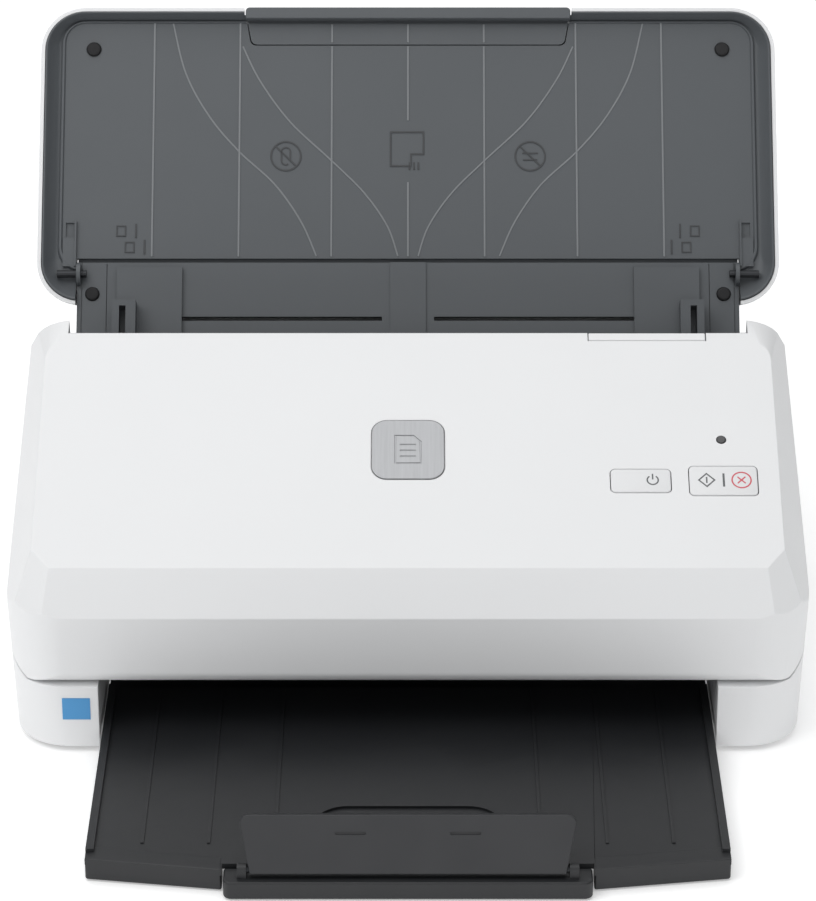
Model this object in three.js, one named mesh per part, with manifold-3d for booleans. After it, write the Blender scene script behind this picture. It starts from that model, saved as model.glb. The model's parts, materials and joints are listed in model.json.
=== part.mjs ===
// Compact sheet fed document scanner, standing open and ready to scan.
// Millimetres, +Z up, front towards -Y. The origin is under the centre of the whole open scanner.
import * as THREE from 'three';
import Module from 'manifold-3d';
import { mergeVertices } from 'three/addons/utils/BufferGeometryUtils.js';

const wasm = await Module();
wasm.setup();

// Body
const HALF_WIDTH = 152.3;
const FLANK = [[-5, 149.8], [55, 152.3], [60, 152.3], [145, 147.9]];
const FRONT_Y = -86;
const REAR_Y = 86;
const FRONT_CORNER = 22;
const REAR_CORNER = 9;
const WALL = 2.4;
const BOTTOM_Z = 2.5;
const SEAM_Z = 29;
const SEAM_GAP = 0.5;
const BAY_HALF = 117.2;
const REAR_SEAM_Y = 77.6;
const DECK_Z = 98;
const HUMP = { half: 119.5, cheek: 117.3, front: 68.5, brow: 82, top: 116, sheet: 2.2 };
const PAN = { z0: 2.2, z1: 4.2, half: 142 };
const FOOT = { x: 129, frontY: -66, rearY: 62, radius: 7, height: 1.9 };
const USB = { x0: -46, x1: -34 };
const JACK = { x0: -76, x1: -65 };
const SOCKET = { front: 78, rear: 86.2, z0: 24, z1: 35, gap: 0.5 };

// Front cover that carries the upper half of the paper path
const COVER_HINGE = { y: -80, z: 35 };
const HINGE_ROUND = 6;
const BAND_TOP_Z = 57.7;
const CHAMFER_TOP = { y: -75, z: 73.5 };
const FACE_ANGLE = THREE.MathUtils.degToRad(27.5);
const FACE_TOP = { y: 24, z: 125.1 };
const EAR_TOP = { y: 32, z: 129.4 };
const EAR_FOOT = { y: 36.4, z: 103.6 };
const EAR_INNER = 133.6;
const FACE_HALF = 142;
const FACE_BEVEL_DEPTH = 5;
const COVER_PIN_RADIUS = 1.6;
const PIN_PLAY = 0.3;

// Controls on the face: x0, x1 across it and v0, v1 up it from its top edge
const POWER_KEY = { x0: 77.4, x1: 100.3, v0: -76.7, v1: -65.9 };
const SCAN_KEY = { x0: 107.4, x1: 133.4, v0: -78.1, v1: -64.5 };
const KEY_GAP = 0.35;
const KEY_PROUD = 0.3;
const LED = { x: 120.5, v: -51.7, radius: 1.65 };
const BADGE = { half: 14, v: -56.5, corner: 6 };
const LATCH = { x0: 70.9, x1: 116.7, v0: -3 };
const LATCH_LEG = { x0: 88, x1: 100, v0: -24 };

// Straight paper path: its plane also holds the open input tray
const PATH_ANGLE = THREE.MathUtils.degToRad(52);
const PATH_TOP = { y: 74, z: 135 };
const LID_PIVOT = { l: -6, n: 2.2 };
const LID_TOP_L = 106;
const LID_FOOT_L = -19.3;
const LID_HALF = 149.5;
const LID_CORNER = 18;
const LID_BACK_N = -11.5;
const LID_RIM_N = 4.8;
const PANEL_HALF = 139;
const PANEL_TOP_L = 101;
const PANEL_FOOT_L = 1;
const LOBE_INNER = 134.4;
const ARM = { inner: 121.3, outer: 133.4, foot: -41, top: -0.7 };
const CHUTE_FOOT_L = -46.5;
const SHEET = 2;
const EXTENSION = { half: 66.5, handleFoot: 91.4, plateFoot: 12 };
const GAP = 0.4;
const TRAY_PIN_RADIUS = 1.5;
const TRAY_BUMPER = { x: 128.3, l: 89.3, radius: 2.8 };
const CHUTE_BUMPER = { x: 127.2, l: -13.8, radius: 2.65 };
const GUIDE_HALF = 116;

// Paper guides and their rack drive
const FENCE_X = 109;
const RACK_L = -24;
const RACK_N = { n0: -7, n1: -4 };
const RACK_WEB = { inner: 96, outer: 112 };
const GUIDE_TRAVEL = 70;
const MODULE = 1;
const PINION_TEETH = 12;

// Rollers, placed along the paper path
const FEED = { l: -55, radius: 12, teeth: 22 };
const DRIVE = { l: -86, radius: 7, teeth: 16 };
const EXIT = { l: -129, radius: 7, teeth: 16 };
const SCAN_L = -107;
const FLAG = { l: -70, n: -8 };
const SHAFT_RADIUS = 3;
const MOTOR = { y: 54, z: 34, radius: 17.5, teeth: 12 };
const FEED_IDLER_TEETH = 34;
const DRIVE_IDLER_TEETH = 13;
const EXIT_IDLER_TEETH = 28;
const SIDE_PLATE = { inner: 121, outer: 123.4 };
const GEAR_X = { inner: 126, outer: 131 };

// Output tray
const TRAY = { half: 116, front: -176.7, centreFront: -184, rear: -52, top: 9, floor: 6.8 };
const TONGUE = { half: 66, front: -190, lipBack: -179.8, rear: -108 };
const STOP_PIN = { y: -185, z: 10 };
const STOP_LEAN = THREE.MathUtils.degToRad(65);
const STOP = { footHalf: 56.5, topHalf: 60, height: 19.8, thick: 3.8, lip: 3 };
const STOP_PIN_RADIUS = 1.2;

const SHELL_WHITE = [0xeceef0, 0.42, 0];
const TRAY_GREY = [0x55585c, 0.6, 0];
const TRAY_BLACK = [0x2a2b2e, 0.6, 0];
const FRAME_GREY = [0x3c3f43, 0.7, 0];
const RUBBER = [0x1b1b1c, 0.9, 0];
const STEEL = [0xb4b7bb, 0.35, 0.9];
const GEAR_WHITE = [0xe6e2d6, 0.55, 0];
const BOARD_GREEN = [0x1f5a3a, 0.6, 0];
const GLASS_TINT = [0x9fb4b8, 0.08, 0];
const SILVER = [0xb9bcc0, 0.3, 0.6];
const LENS_GREY = [0x464646, 0.25, 0];

// ---- solids ------------------------------------------------------------------------------------

function toSolid(geometry) {
  geometry.deleteAttribute('normal');
  geometry.deleteAttribute('uv');
  const merged = mergeVertices(geometry, 1e-4);
  const index = merged.index.array;
  const triangles = [];
  for (let i = 0; i < index.length; i += 3) {
    const [a, b, c] = [index[i], index[i + 1], index[i + 2]];
    if (a !== b && b !== c && c !== a) triangles.push(a, b, c);
  }
  const vertProperties = new Float32Array(merged.attributes.position.array);
  const triVerts = new Uint32Array(triangles);
  return new wasm.Manifold(new wasm.Mesh({ numProp: 3, vertProperties, triVerts }));
}

function toGeometry(solid) {
  const mesh = solid.getMesh();
  const geometry = new THREE.BufferGeometry();
  geometry.setAttribute('position', new THREE.BufferAttribute(mesh.vertProperties, 3));
  geometry.setIndex(new THREE.BufferAttribute(mesh.triVerts, 1));
  geometry.computeVertexNormals();
  return geometry;
}

function join(...solids) {
  return solids.reduce((whole, solid) => whole.add(solid));
}

function cut(solid, ...tools) {
  return tools.reduce((rest, tool) => rest.subtract(tool), solid);
}

function block(x0, x1, y0, y1, z0, z1) {
  const geometry = new THREE.BoxGeometry(x1 - x0, y1 - y0, z1 - z0);
  geometry.translate((x0 + x1) / 2, (y0 + y1) / 2, (z0 + z1) / 2);
  return toSolid(geometry);
}

function outline(points) {
  return new THREE.Shape(points.map(([a, b]) => new THREE.Vector2(a, b)));
}

function roundedOutline(x0, x1, y0, y1, lower, upper = lower) {
  const shape = new THREE.Shape();
  shape.moveTo(x0 + lower, y0);
  shape.lineTo(x1 - lower, y0);
  shape.absarc(x1 - lower, y0 + lower, lower, -Math.PI / 2, 0);
  shape.lineTo(x1, y1 - upper);
  shape.absarc(x1 - upper, y1 - upper, upper, 0, Math.PI / 2);
  shape.lineTo(x0 + upper, y1);
  shape.absarc(x0 + upper, y1 - upper, upper, Math.PI / 2, Math.PI);
  shape.lineTo(x0, y0 + lower);
  shape.absarc(x0 + lower, y0 + lower, lower, Math.PI, Math.PI * 1.5);
  return shape;
}

// A flat outline in X and Y, raised from z0 to z1.
function raise(shape, z0, z1, segments = 6) {
  const options = { depth: z1 - z0, bevelEnabled: false, curveSegments: segments };
  const geometry = new THREE.ExtrudeGeometry(shape, options);
  geometry.translate(0, 0, z0);
  return toSolid(geometry);
}

// A side profile in Y and Z, run along X from x0 to x1.
function runAlongX(shape, x0, x1, segments = 6) {
  const options = { depth: x1 - x0, bevelEnabled: false, curveSegments: segments };
  const geometry = new THREE.ExtrudeGeometry(shape, options);
  const axes = [new THREE.Vector3(0, 1, 0), new THREE.Vector3(0, 0, 1), new THREE.Vector3(1, 0, 0)];
  geometry.applyMatrix4(new THREE.Matrix4().makeBasis(...axes));
  geometry.translate(x0, 0, 0);
  return toSolid(geometry);
}

function rodAlongX(radius, x0, x1, y, z, sides = 12) {
  const geometry = new THREE.CylinderGeometry(radius, radius, x1 - x0, sides);
  geometry.rotateZ(Math.PI / 2);
  geometry.translate((x0 + x1) / 2, y, z);
  return toSolid(geometry);
}

function postAlongZ(radius, x, y, z0, z1, sides = 12) {
  const geometry = new THREE.CylinderGeometry(radius, radius, z1 - z0, sides);
  geometry.rotateX(Math.PI / 2);
  geometry.translate(x, y, (z0 + z1) / 2);
  return toSolid(geometry);
}

// A turned piece about X. Steps are [radius, x where that radius ends], from startX on.
function turnedAlongX(startX, steps, y, z, sides = 20) {
  const points = [new THREE.Vector2(0, startX)];
  let x = startX;
  for (const [radius, end] of steps) {
    points.push(new THREE.Vector2(radius, x), new THREE.Vector2(radius, end));
    x = end;
  }
  points.push(new THREE.Vector2(0, x));
  const geometry = new THREE.LatheGeometry(points, sides);
  geometry.rotateZ(-Math.PI / 2);
  geometry.translate(0, y, z);
  return toSolid(geometry);
}

// The line of points moved sideways by a distance, to its right as it is walked.
function offsetLine(points, distance) {
  const normals = points.slice(1).map(([y, z], i) => {
    const step = new THREE.Vector2(y - points[i][0], z - points[i][1]).normalize();
    return new THREE.Vector2(step.y, -step.x);
  });
  return points.map(([y, z], i) => {
    const before = normals[Math.max(i - 1, 0)];
    const after = normals[Math.min(i, normals.length - 1)];
    const sum = before.clone().add(after);
    sum.multiplyScalar((2 * distance) / sum.lengthSq());
    return [y + sum.x, z + sum.y];
  });
}

function arcPoints(y, z, radius, from, to, steps) {
  return Array.from({ length: steps + 1 }, (_, i) => {
    const angle = THREE.MathUtils.degToRad(from + ((to - from) * i) / steps);
    return [y + radius * Math.cos(angle), z + radius * Math.sin(angle)];
  });
}

// ---- placing -----------------------------------------------------------------------------------

const scanner = new THREE.Group();
scanner.name = 'scanner';
const path = new THREE.Group();
path.position.set(0, PATH_TOP.y, PATH_TOP.z);
path.rotation.x = PATH_ANGLE;
const face = new THREE.Group();
face.position.set(0, FACE_TOP.y, FACE_TOP.z);
face.rotation.x = FACE_ANGLE;
scanner.add(path, face);

function add(group, name, solid, [color, roughness, metalness]) {
  const material = new THREE.MeshStandardMaterial({ color, roughness, metalness });
  const mesh = new THREE.Mesh(toGeometry(solid), material);
  mesh.name = name;
  group.add(mesh);
}

// Body coordinates of a point on the paper path: l along it, n out of it.
function onPath(l, n) {
  const [c, s] = [Math.cos(PATH_ANGLE), Math.sin(PATH_ANGLE)];
  return { y: PATH_TOP.y + c * l - s * n, z: PATH_TOP.z + s * l + c * n };
}

function inBody(solid, { y, z }, angle) {
  const matrix = new THREE.Matrix4().makeRotationX(-angle);
  matrix.multiply(new THREE.Matrix4().makeTranslation(0, -y, -z));
  return solid.transform(matrix.elements);
}

function bodyToPath(solid) {
  return inBody(solid, PATH_TOP, PATH_ANGLE);
}

const SIDES = [['left', -1], ['right', 1]];

function spread(side, a, b) {
  return side < 0 ? [-b, -a] : [a, b];
}

// ---- casing ------------------------------------------------------------------------------------

// The rounded plan of the casing, widest at the height of the front band.
function planSolid(inset) {
  const [front, rear] = [FRONT_Y + inset, REAR_Y - inset];
  const corners = FLANK.flatMap(([z, widest]) => {
    const half = widest - inset;
    const plan = roundedOutline(-half, half, front, rear, FRONT_CORNER - inset, REAR_CORNER - inset);
    return plan.getPoints(6).map(({ x, y }) => [x, y, z]);
  });
  return wasm.Manifold.hull(corners);
}

function sideCover(side) {
  const seam = [[FRONT_Y, SEAM_Z - SEAM_GAP], [-79, SEAM_Z - SEAM_GAP], [36, EAR_FOOT.z - 1.6]];
  const back = [[41, DECK_Z], [REAR_SEAM_Y, DECK_Z], [REAR_SEAM_Y, BOTTOM_Z], [FRONT_Y, BOTTOM_Z]];
  const profile = outline([...seam, ...back].reverse());
  const whole = runAlongX(profile, ...spread(side, BAY_HALF, HALF_WIDTH)).intersect(planSolid(0));
  const [in0, in1] = spread(side, BAY_HALF + 1.8, HALF_WIDTH);
  const ledge = SEAM_Z - SEAM_GAP - WALL;
  const low = block(in0, in1, FRONT_Y + WALL, REAR_Y, -1, ledge);
  const high = block(in0, in1, -77, REAR_Y, ledge - 1, 110);
  const behind = block(...spread(side, BAY_HALF - 1, HALF_WIDTH), -22, REAR_Y, -1, 110);
  const cavity = join(low, high, behind).intersect(planSolid(WALL));
  const outerDeck = block(...spread(side, 134.2, HALF_WIDTH), 44, REAR_SEAM_Y, DECK_Z - 2, DECK_Z);
  const innerDeck = block(...spread(side, 120, 135), 64, REAR_SEAM_Y, DECK_Z - 2, DECK_Z);
  return join(cut(whole, cavity), outerDeck, innerDeck);
}

function rearCover() {
  const { half, cheek, front, brow, top, sheet } = HUMP;
  const wall = block(-HALF_WIDTH, HALF_WIDTH, REAR_SEAM_Y + GAP, REAR_Y, BOTTOM_Z, DECK_Z);
  const skin = cut(wall.intersect(planSolid(0)), wall.intersect(planSolid(WALL)));
  const roof = block(-HALF_WIDTH, HALF_WIDTH, REAR_SEAM_Y + GAP, REAR_Y, DECK_Z - 2, DECK_Z);
  const humpProfile = outline([
    [REAR_Y, DECK_Z - 4], [REAR_Y, top - 6], [brow, top], [front, top],
    [front, top - sheet], [brow - 1, top - sheet], [REAR_Y - sheet, top - 7], [REAR_Y - sheet, DECK_Z - 4],
  ]);
  const raised = runAlongX(humpProfile, -half, half);
  const cheekProfile = outline([
    [front, top], [brow, top], [REAR_Y, top - 6], [REAR_Y, DECK_Z - 1], [front, DECK_Z - 1],
  ]);
  const cheeks = SIDES.map(([, side]) => runAlongX(cheekProfile, ...spread(side, cheek, half)));
  const opening = block(-cheek, cheek, front + 1.5, REAR_Y - WALL, DECK_Z - 3, DECK_Z + 1);
  const shell = cut(join(skin, roof.intersect(planSolid(0)), raised, ...cheeks), opening);
  return cut(shell, socketBody(USB, SOCKET.gap), socketBody(JACK, SOCKET.gap));
}

function socketBody({ x0, x1 }, grow) {
  const { front, rear, z0, z1 } = SOCKET;
  return block(x0 - grow, x1 + grow, front, rear, z0 - grow, z1 + grow);
}

function basePan() {
  const { z0, z1, half } = PAN;
  const middle = block(-BAY_HALF + 0.6, BAY_HALF - 0.6, -68, 0, z0, z1);
  const floor = block(-half, half, -18, 76, z0, z1);
  const wings = SIDES.map(([, side]) => block(...spread(side, 119.6, half - 5), -80, 0, z0, z1));
  const ribs = SIDES.map(([, side]) => block(...spread(side, 117.6, 119.4), -18, 46, 4, 12));
  const backRib = block(-110, 110, 50, 52, 4, 14);
  return join(middle, floor, ...wings, ...ribs, backRib);
}

function rubberFeet() {
  const { x, frontY, rearY, radius, height } = FOOT;
  for (const [name, side] of SIDES) {
    add(scanner, `front_foot_${name}`, postAlongZ(radius, side * x, frontY, 0, height, 20), RUBBER);
    add(scanner, `rear_foot_${name}`, postAlongZ(radius, side * x, rearY, 0, height, 20), RUBBER);
  }
}

function connectors() {
  const { x0, x1 } = USB;
  const { rear, z0, z1 } = SOCKET;
  const mouth = block(x0 + 1.5, x1 - 1.5, 80, rear + 0.8, z0 + 1.5, z1 - 1.5);
  const jackX = (JACK.x0 + JACK.x1) / 2;
  const jackZ = (z0 + z1) / 2;
  const ring = cut(socketBody(JACK, 0), rodAlongY(3.6, jackX, jackZ, 79.5, 86.5));
  const usb = cut(socketBody(USB, 0), mouth);
  const jack = join(ring, rodAlongY(1, jackX, jackZ, 79.3, 84.3));
  add(scanner, 'usb_port', usb, STEEL);
  add(scanner, 'power_jack', jack, TRAY_BLACK);
  add(scanner, 'main_board', block(-95, 60, 75.2, 76.8, 18, 84), BOARD_GREEN);
}

function rodAlongY(radius, x, z, y0, y1) {
  const geometry = new THREE.CylinderGeometry(radius, radius, y1 - y0, 16);
  geometry.translate(x, (y0 + y1) / 2, z);
  return toSolid(geometry);
}

// ---- front cover -------------------------------------------------------------------------------

function faceLine() {
  const round = arcPoints(COVER_HINGE.y, COVER_HINGE.z, HINGE_ROUND, 270, 180, 5);
  const top = [FRONT_Y, BAND_TOP_Z];
  return [...round, top, [CHAMFER_TOP.y, CHAMFER_TOP.z], [FACE_TOP.y, FACE_TOP.z]];
}

// Everything under the sloping face plateau and its bevelled sides.
function bevelSolid(inset) {
  const half = HALF_WIDTH - inset;
  const plateau = FACE_HALF - inset * 0.6;
  const shape = outline([
    [-half, -170], [half, -170], [half, -FACE_BEVEL_DEPTH - inset], [plateau, -inset],
    [-plateau, -inset], [-half, -FACE_BEVEL_DEPTH - inset],
  ]);
  const options = { depth: 220, bevelEnabled: false };
  const geometry = new THREE.ExtrudeGeometry(shape, options);
  geometry.rotateX(Math.PI / 2);
  geometry.translate(0, 40, 0);
  geometry.rotateX(FACE_ANGLE);
  geometry.translate(0, FACE_TOP.y, FACE_TOP.z);
  return toSolid(geometry);
}

function frontCover() {
  const line = faceLine();
  const ear = [[EAR_TOP.y, EAR_TOP.z], [EAR_FOOT.y, EAR_FOOT.z]];
  const outer = runAlongX(outline([...line, ...ear].reverse()), -HALF_WIDTH, HALF_WIDTH);
  const shell = outer.intersect(planSolid(0)).intersect(bevelSolid(0));
  const inner = offsetLine(line, WALL);
  const top = inner[inner.length - 1];
  const beyond = [[60, top[1] + (60 - top[0]) * Math.tan(FACE_ANGLE)], [60, 0], [COVER_HINGE.y, 0]];
  const hollow = runAlongX(outline([...inner, ...beyond].reverse()), -HALF_WIDTH, HALF_WIDTH);
  const skinned = hollow.intersect(planSolid(WALL)).intersect(bevelSolid(WALL));
  const earPart = ([, side]) => block(...spread(side, EAR_INNER, HALF_WIDTH), 5, 60, 0, 200);
  const middle = cut(skinned, ...SIDES.map(earPart));
  const earHollow = ([, side]) => {
    const pocket = block(...spread(side, EAR_INNER + WALL, HALF_WIDTH), 0, 31, 60, 200);
    return skinned.intersect(pocket);
  };
  const open = block(-EAR_INNER, EAR_INNER, FACE_TOP.y + 3, 60, 60, 200);
  const hollowed = cut(shell, middle, ...SIDES.map(earHollow), open);
  const lugs = SIDES.map(([, side]) => hingeLug(side));
  return cut(join(hollowed, ...lugs), ...faceOpenings());
}

function hingeLug(side) {
  const { y, z } = COVER_HINGE;
  const solid = block(...spread(side, 125.4, 129.4), FRONT_Y + 1, y + 3.4, z - 3.2, z + 3.4);
  return cut(solid, rodAlongX(COVER_PIN_RADIUS + PIN_PLAY, ...spread(side, 124, 131), y, z));
}

function keyOutline({ x0, x1, v0, v1 }, grow) {
  return roundedOutline(x0 - grow, x1 + grow, v0 - grow, v1 + grow, 1.8 + grow);
}

function badgeOutline(grow) {
  const { half, v, corner } = BADGE;
  return roundedOutline(-half - grow, half + grow, v - half - grow, v + half + grow, corner + grow);
}

function faceToBody(solid) {
  const matrix = new THREE.Matrix4().makeTranslation(0, FACE_TOP.y, FACE_TOP.z);
  matrix.multiply(new THREE.Matrix4().makeRotationX(FACE_ANGLE));
  return solid.transform(matrix.elements);
}

function faceOpenings() {
  const wells = [POWER_KEY, SCAN_KEY].map((key) => raise(keyOutline(key, KEY_GAP), -6, 3, 3));
  const led = postAlongZ(LED.radius + KEY_GAP, LED.x, LED.v, -6, 3, 12);
  const pocket = raise(badgeOutline(0.3), -0.9, 3, 4);
  const notch = block(LATCH.x0 - 0.4, LATCH.x1 + 0.4, LATCH.v0 - 0.4, 12, -9, 4);
  return [...wells, led, pocket, notch].map(faceToBody);
}

function faceControls() {
  add(face, 'power_button', raise(keyOutline(POWER_KEY, 0), -3, KEY_PROUD, 3), SHELL_WHITE);
  add(face, 'scan_button', raise(keyOutline(SCAN_KEY, 0), -3, KEY_PROUD, 3), SHELL_WHITE);
  add(face, 'status_lens', postAlongZ(LED.radius, LED.x, LED.v, -2.6, 0.2, 12), LENS_GREY);
  add(face, 'badge_plate', raise(badgeOutline(0), -0.5, 0.35, 4), SILVER);
  const bar = block(LATCH.x0, LATCH.x1, LATCH.v0, 0.7, -3.6, -0.1);
  const leg = block(LATCH_LEG.x0, LATCH_LEG.x1, LATCH_LEG.v0, LATCH.v0 + 1, -6, -2.9);
  add(face, 'cover_latch', join(bar, leg), SHELL_WHITE);
  const board = block(70, 138, -84, -46, -8.4, -6.8);
  add(face, 'control_board', board, BOARD_GREEN);
}

// Two folded guide faces in one sheet: the mouth that leads paper to the nip, and the roof of the bay.
function upperGuide() {
  const at = (l, n) => Object.values(onPath(l, n));
  const line = [[29.4, 118.6], at(-48, 7), at(-60, 3), at(-136, 3), [-30, 29.8], [-77, 29.8]];
  const outer = offsetLine(line, SHEET);
  const sheet = runAlongX(outline([...line, ...[...outer].reverse()]), -GUIDE_HALF, GUIDE_HALF);
  const slots = [
    block(-24, 24, FEED.l - 12, FEED.l + 16, 0, 24),
    block(47.5, 52.5, FLAG.l - 9, FLAG.l + 3, 0, 9),
    block(-102, 102, DRIVE.l - 6.5, DRIVE.l + 6.5, 0, 9),
    block(-108, 108, SCAN_L - 8.4, SCAN_L + 8.4, 0, 9),
    block(-102, 102, EXIT.l - 6.2, EXIT.l + 6.2, 0, 9),
  ];
  return cut(bodyToPath(sheet), ...slots);
}

// ---- paper path, lower side --------------------------------------------------------------------

function inputChute() {
  const sheet = block(-ARM.inner, ARM.inner, CHUTE_FOOT_L, ARM.top, -SHEET, 0);
  const middleRise = block(-7.1, 7.1, CHUTE_FOOT_L, ARM.top, -0.5, 0.8);
  const slot = (side) => block(...spread(side, 10.5, 116.5), RACK_L - 0.9, RACK_L + 0.9, -4, 3);
  const slots = SIDES.map(([, side]) => slot(side));
  const post = postAlongZ(1.6, 0, RACK_L, -8.2, -1, 12);
  return join(cut(sheet, ...slots), middleRise, post, ...SIDES.map(([, side]) => chuteArm(side)));
}

// A hollow arm in the chute plane, with an upright eye on its outer edge for the tray's hinge pin.
function chuteArm(side) {
  const [x0, x1] = spread(side, ARM.inner, ARM.outer);
  const arm = block(x0, x1, ARM.foot, ARM.top, -10.5, 0);
  const hollow = block(x0 + 1.8, x1 - 1.8, ARM.foot - 1, ARM.top - 2, -12, -2);
  const [eye0, eye1] = spread(side, ARM.outer - 2.4, ARM.outer);
  const { l, n } = LID_PIVOT;
  const eye = join(rodAlongX(4.4, eye0, eye1, l, n, 16), block(eye0, eye1, l - 4.4, l + 4.4, -2, n));
  const pinHole = rodAlongX(TRAY_PIN_RADIUS + PIN_PLAY, eye0 - 1, eye1 + 1, l, n);
  const { x, l: bumperL, radius } = CHUTE_BUMPER;
  const dimple = postAlongZ(radius + 0.3, side * x, bumperL, -2.5, 1);
  const floor = postAlongZ(4, side * x, bumperL, -4.5, -1.6);
  return cut(join(cut(arm, hollow), eye, floor), pinHole, dimple);
}

function lowerGuide() {
  const sheet = block(-GUIDE_HALF, GUIDE_HALF, -137, CHUTE_FOOT_L - GAP, -SHEET, 0);
  const openings = [
    block(-27, 27, FEED.l - 8, -20, -6, 4),
    block(-22, 22, FEED.l - 8, FEED.l + 8, -6, 4),
    block(47.5, 52.5, FLAG.l - 7, FLAG.l + 3, -6, 4),
    ...tyreBands().map(([x0, x1]) => block(x0 - 1, x1 + 1, DRIVE.l - 6, DRIVE.l + 6, -6, 4)),
    ...tyreBands().map(([x0, x1]) => block(x0 - 1, x1 + 1, EXIT.l - 6, EXIT.l + 6, -6, 4)),
    block(-112.6, 112.6, SCAN_L - 8.4, SCAN_L + 8.4, -6, 4),
  ];
  return cut(sheet, ...openings);
}

// Where the rubber sits on the two lower shafts.
function tyreBands() {
  return [[-84, -64], [-34, -14], [14, 34], [64, 84]];
}

function scanModules() {
  const [l0, l1] = [SCAN_L - 7, SCAN_L + 7];
  add(path, 'lower_scan_module', block(-112, 112, l0, l1, -15, -2.6), FRAME_GREY);
  add(path, 'lower_scan_glass', block(-112, 112, l0 - 1, l1 + 1, -2.2, -0.3), GLASS_TINT);
  add(path, 'upper_scan_module', block(-107, 107, l0, l1, 5.6, 17), FRAME_GREY);
  add(path, 'upper_scan_glass', block(-107.4, 107.4, l0 - 1, l1 + 1, 3.2, 5.2), GLASS_TINT);
}

// ---- drive -------------------------------------------------------------------------------------

function gearOutline(teeth, phase) {
  const pitch = (MODULE * teeth) / 2;
  const step = (2 * Math.PI) / teeth;
  const corners = [[-0.31, pitch - 1.15], [-0.12, pitch + 0.8], [0.12, pitch + 0.8], [0.31, pitch - 1.15]];
  const points = [];
  for (let i = 0; i < teeth; i += 1) {
    for (const [offset, radius] of corners) {
      const angle = phase + (i + offset) * step;
      points.push([radius * Math.cos(angle), radius * Math.sin(angle)]);
    }
  }
  return points;
}

function gearSolid({ y, z, teeth, phase }, bore) {
  const shape = outline(gearOutline(teeth, phase).map(([a, b]) => [a + y, b + z]));
  const wheel = runAlongX(shape, -GEAR_X.outer, -GEAR_X.inner);
  return cut(wheel, rodAlongX(bore, -GEAR_X.outer - 1, -GEAR_X.inner + 1, y, z, 10));
}

// The phase that puts a gap of gear b over the tooth of gear a where they meet.
function meshPhase(a, b) {
  const along = Math.atan2(b.z - a.z, b.y - a.y);
  const place = ((along - a.phase) * a.teeth) / (2 * Math.PI);
  return along + Math.PI + ((place - 0.5) * 2 * Math.PI) / b.teeth;
}

// The centre of an idler that touches two gears, to the left of the line from a to b when side is 1.
function idlerBetween(a, b, teeth, side) {
  const reachA = (MODULE * (a.teeth + teeth)) / 2;
  const reachB = (MODULE * (b.teeth + teeth)) / 2;
  const line = new THREE.Vector2(b.y - a.y, b.z - a.z);
  const span = line.length();
  const along = (reachA ** 2 - reachB ** 2 + span ** 2) / (2 * span);
  const out = side * Math.sqrt(reachA ** 2 - along ** 2);
  line.normalize();
  return { y: a.y + line.x * along - line.y * out, z: a.z + line.y * along + line.x * out, teeth };
}

function lowerAxis({ l, radius, teeth }) {
  return { ...onPath(l, 0.3 - radius), teeth };
}

function gearTrain() {
  const motor = { ...MOTOR, phase: 0 };
  const [feed, drive, exit] = [FEED, DRIVE, EXIT].map(lowerAxis);
  const feedIdler = idlerBetween(motor, feed, FEED_IDLER_TEETH, -1);
  const driveIdler = idlerBetween(feed, drive, DRIVE_IDLER_TEETH, -1);
  const exitIdler = idlerBetween(drive, exit, EXIT_IDLER_TEETH, 1);
  const chain = [motor, feedIdler, feed, driveIdler, drive, exitIdler, exit];
  for (let i = 1; i < chain.length; i += 1) chain[i].phase = meshPhase(chain[i - 1], chain[i]);
  return { motor, feedIdler, feed, driveIdler, drive, exitIdler, exit };
}

function rollersAndGears(train) {
  const bearing = SIDE_PLATE.outer + 1;
  const feedSteps = [[SHAFT_RADIUS, -19], [FEED.radius, -3], [SHAFT_RADIUS, 3], [FEED.radius, 19]];
  const feedRoller = [...feedSteps, [SHAFT_RADIUS, bearing]];
  const bands = tyreBands().flatMap(([x0, x1]) => [[SHAFT_RADIUS, x0], [DRIVE.radius, x1]]);
  const longRoller = [...bands, [SHAFT_RADIUS, bearing]];
  const start = -GEAR_X.outer;
  add(scanner, 'feed_roller', turnedAlongX(start, feedRoller, train.feed.y, train.feed.z), RUBBER);
  add(scanner, 'drive_roller', turnedAlongX(start, longRoller, train.drive.y, train.drive.z, 14), RUBBER);
  add(scanner, 'exit_roller', turnedAlongX(start, longRoller, train.exit.y, train.exit.z, 14), RUBBER);
  for (const name of ['feed', 'drive', 'exit']) {
    add(scanner, `${name}_gear`, gearSolid(train[name], SHAFT_RADIUS + 0.3), GEAR_WHITE);
    const idler = train[name + 'Idler'];
    add(scanner, `${name}_idler_gear`, gearSolid(idler, 2.3), GEAR_WHITE);
  }
  const { y, z, radius } = MOTOR;
  const shaft = rodAlongX(1.5, -GEAR_X.outer, -106, y, z);
  add(scanner, 'motor_pinion', join(gearSolid(train.motor, 1), shaft), STEEL);
  const can = turnedAlongX(-119.6, [[5, -117], [radius, -98], [5, -95]], y, z);
  add(scanner, 'drive_motor', cut(can, rodAlongX(2, -120, -104, y, z)), STEEL);
}

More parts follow.
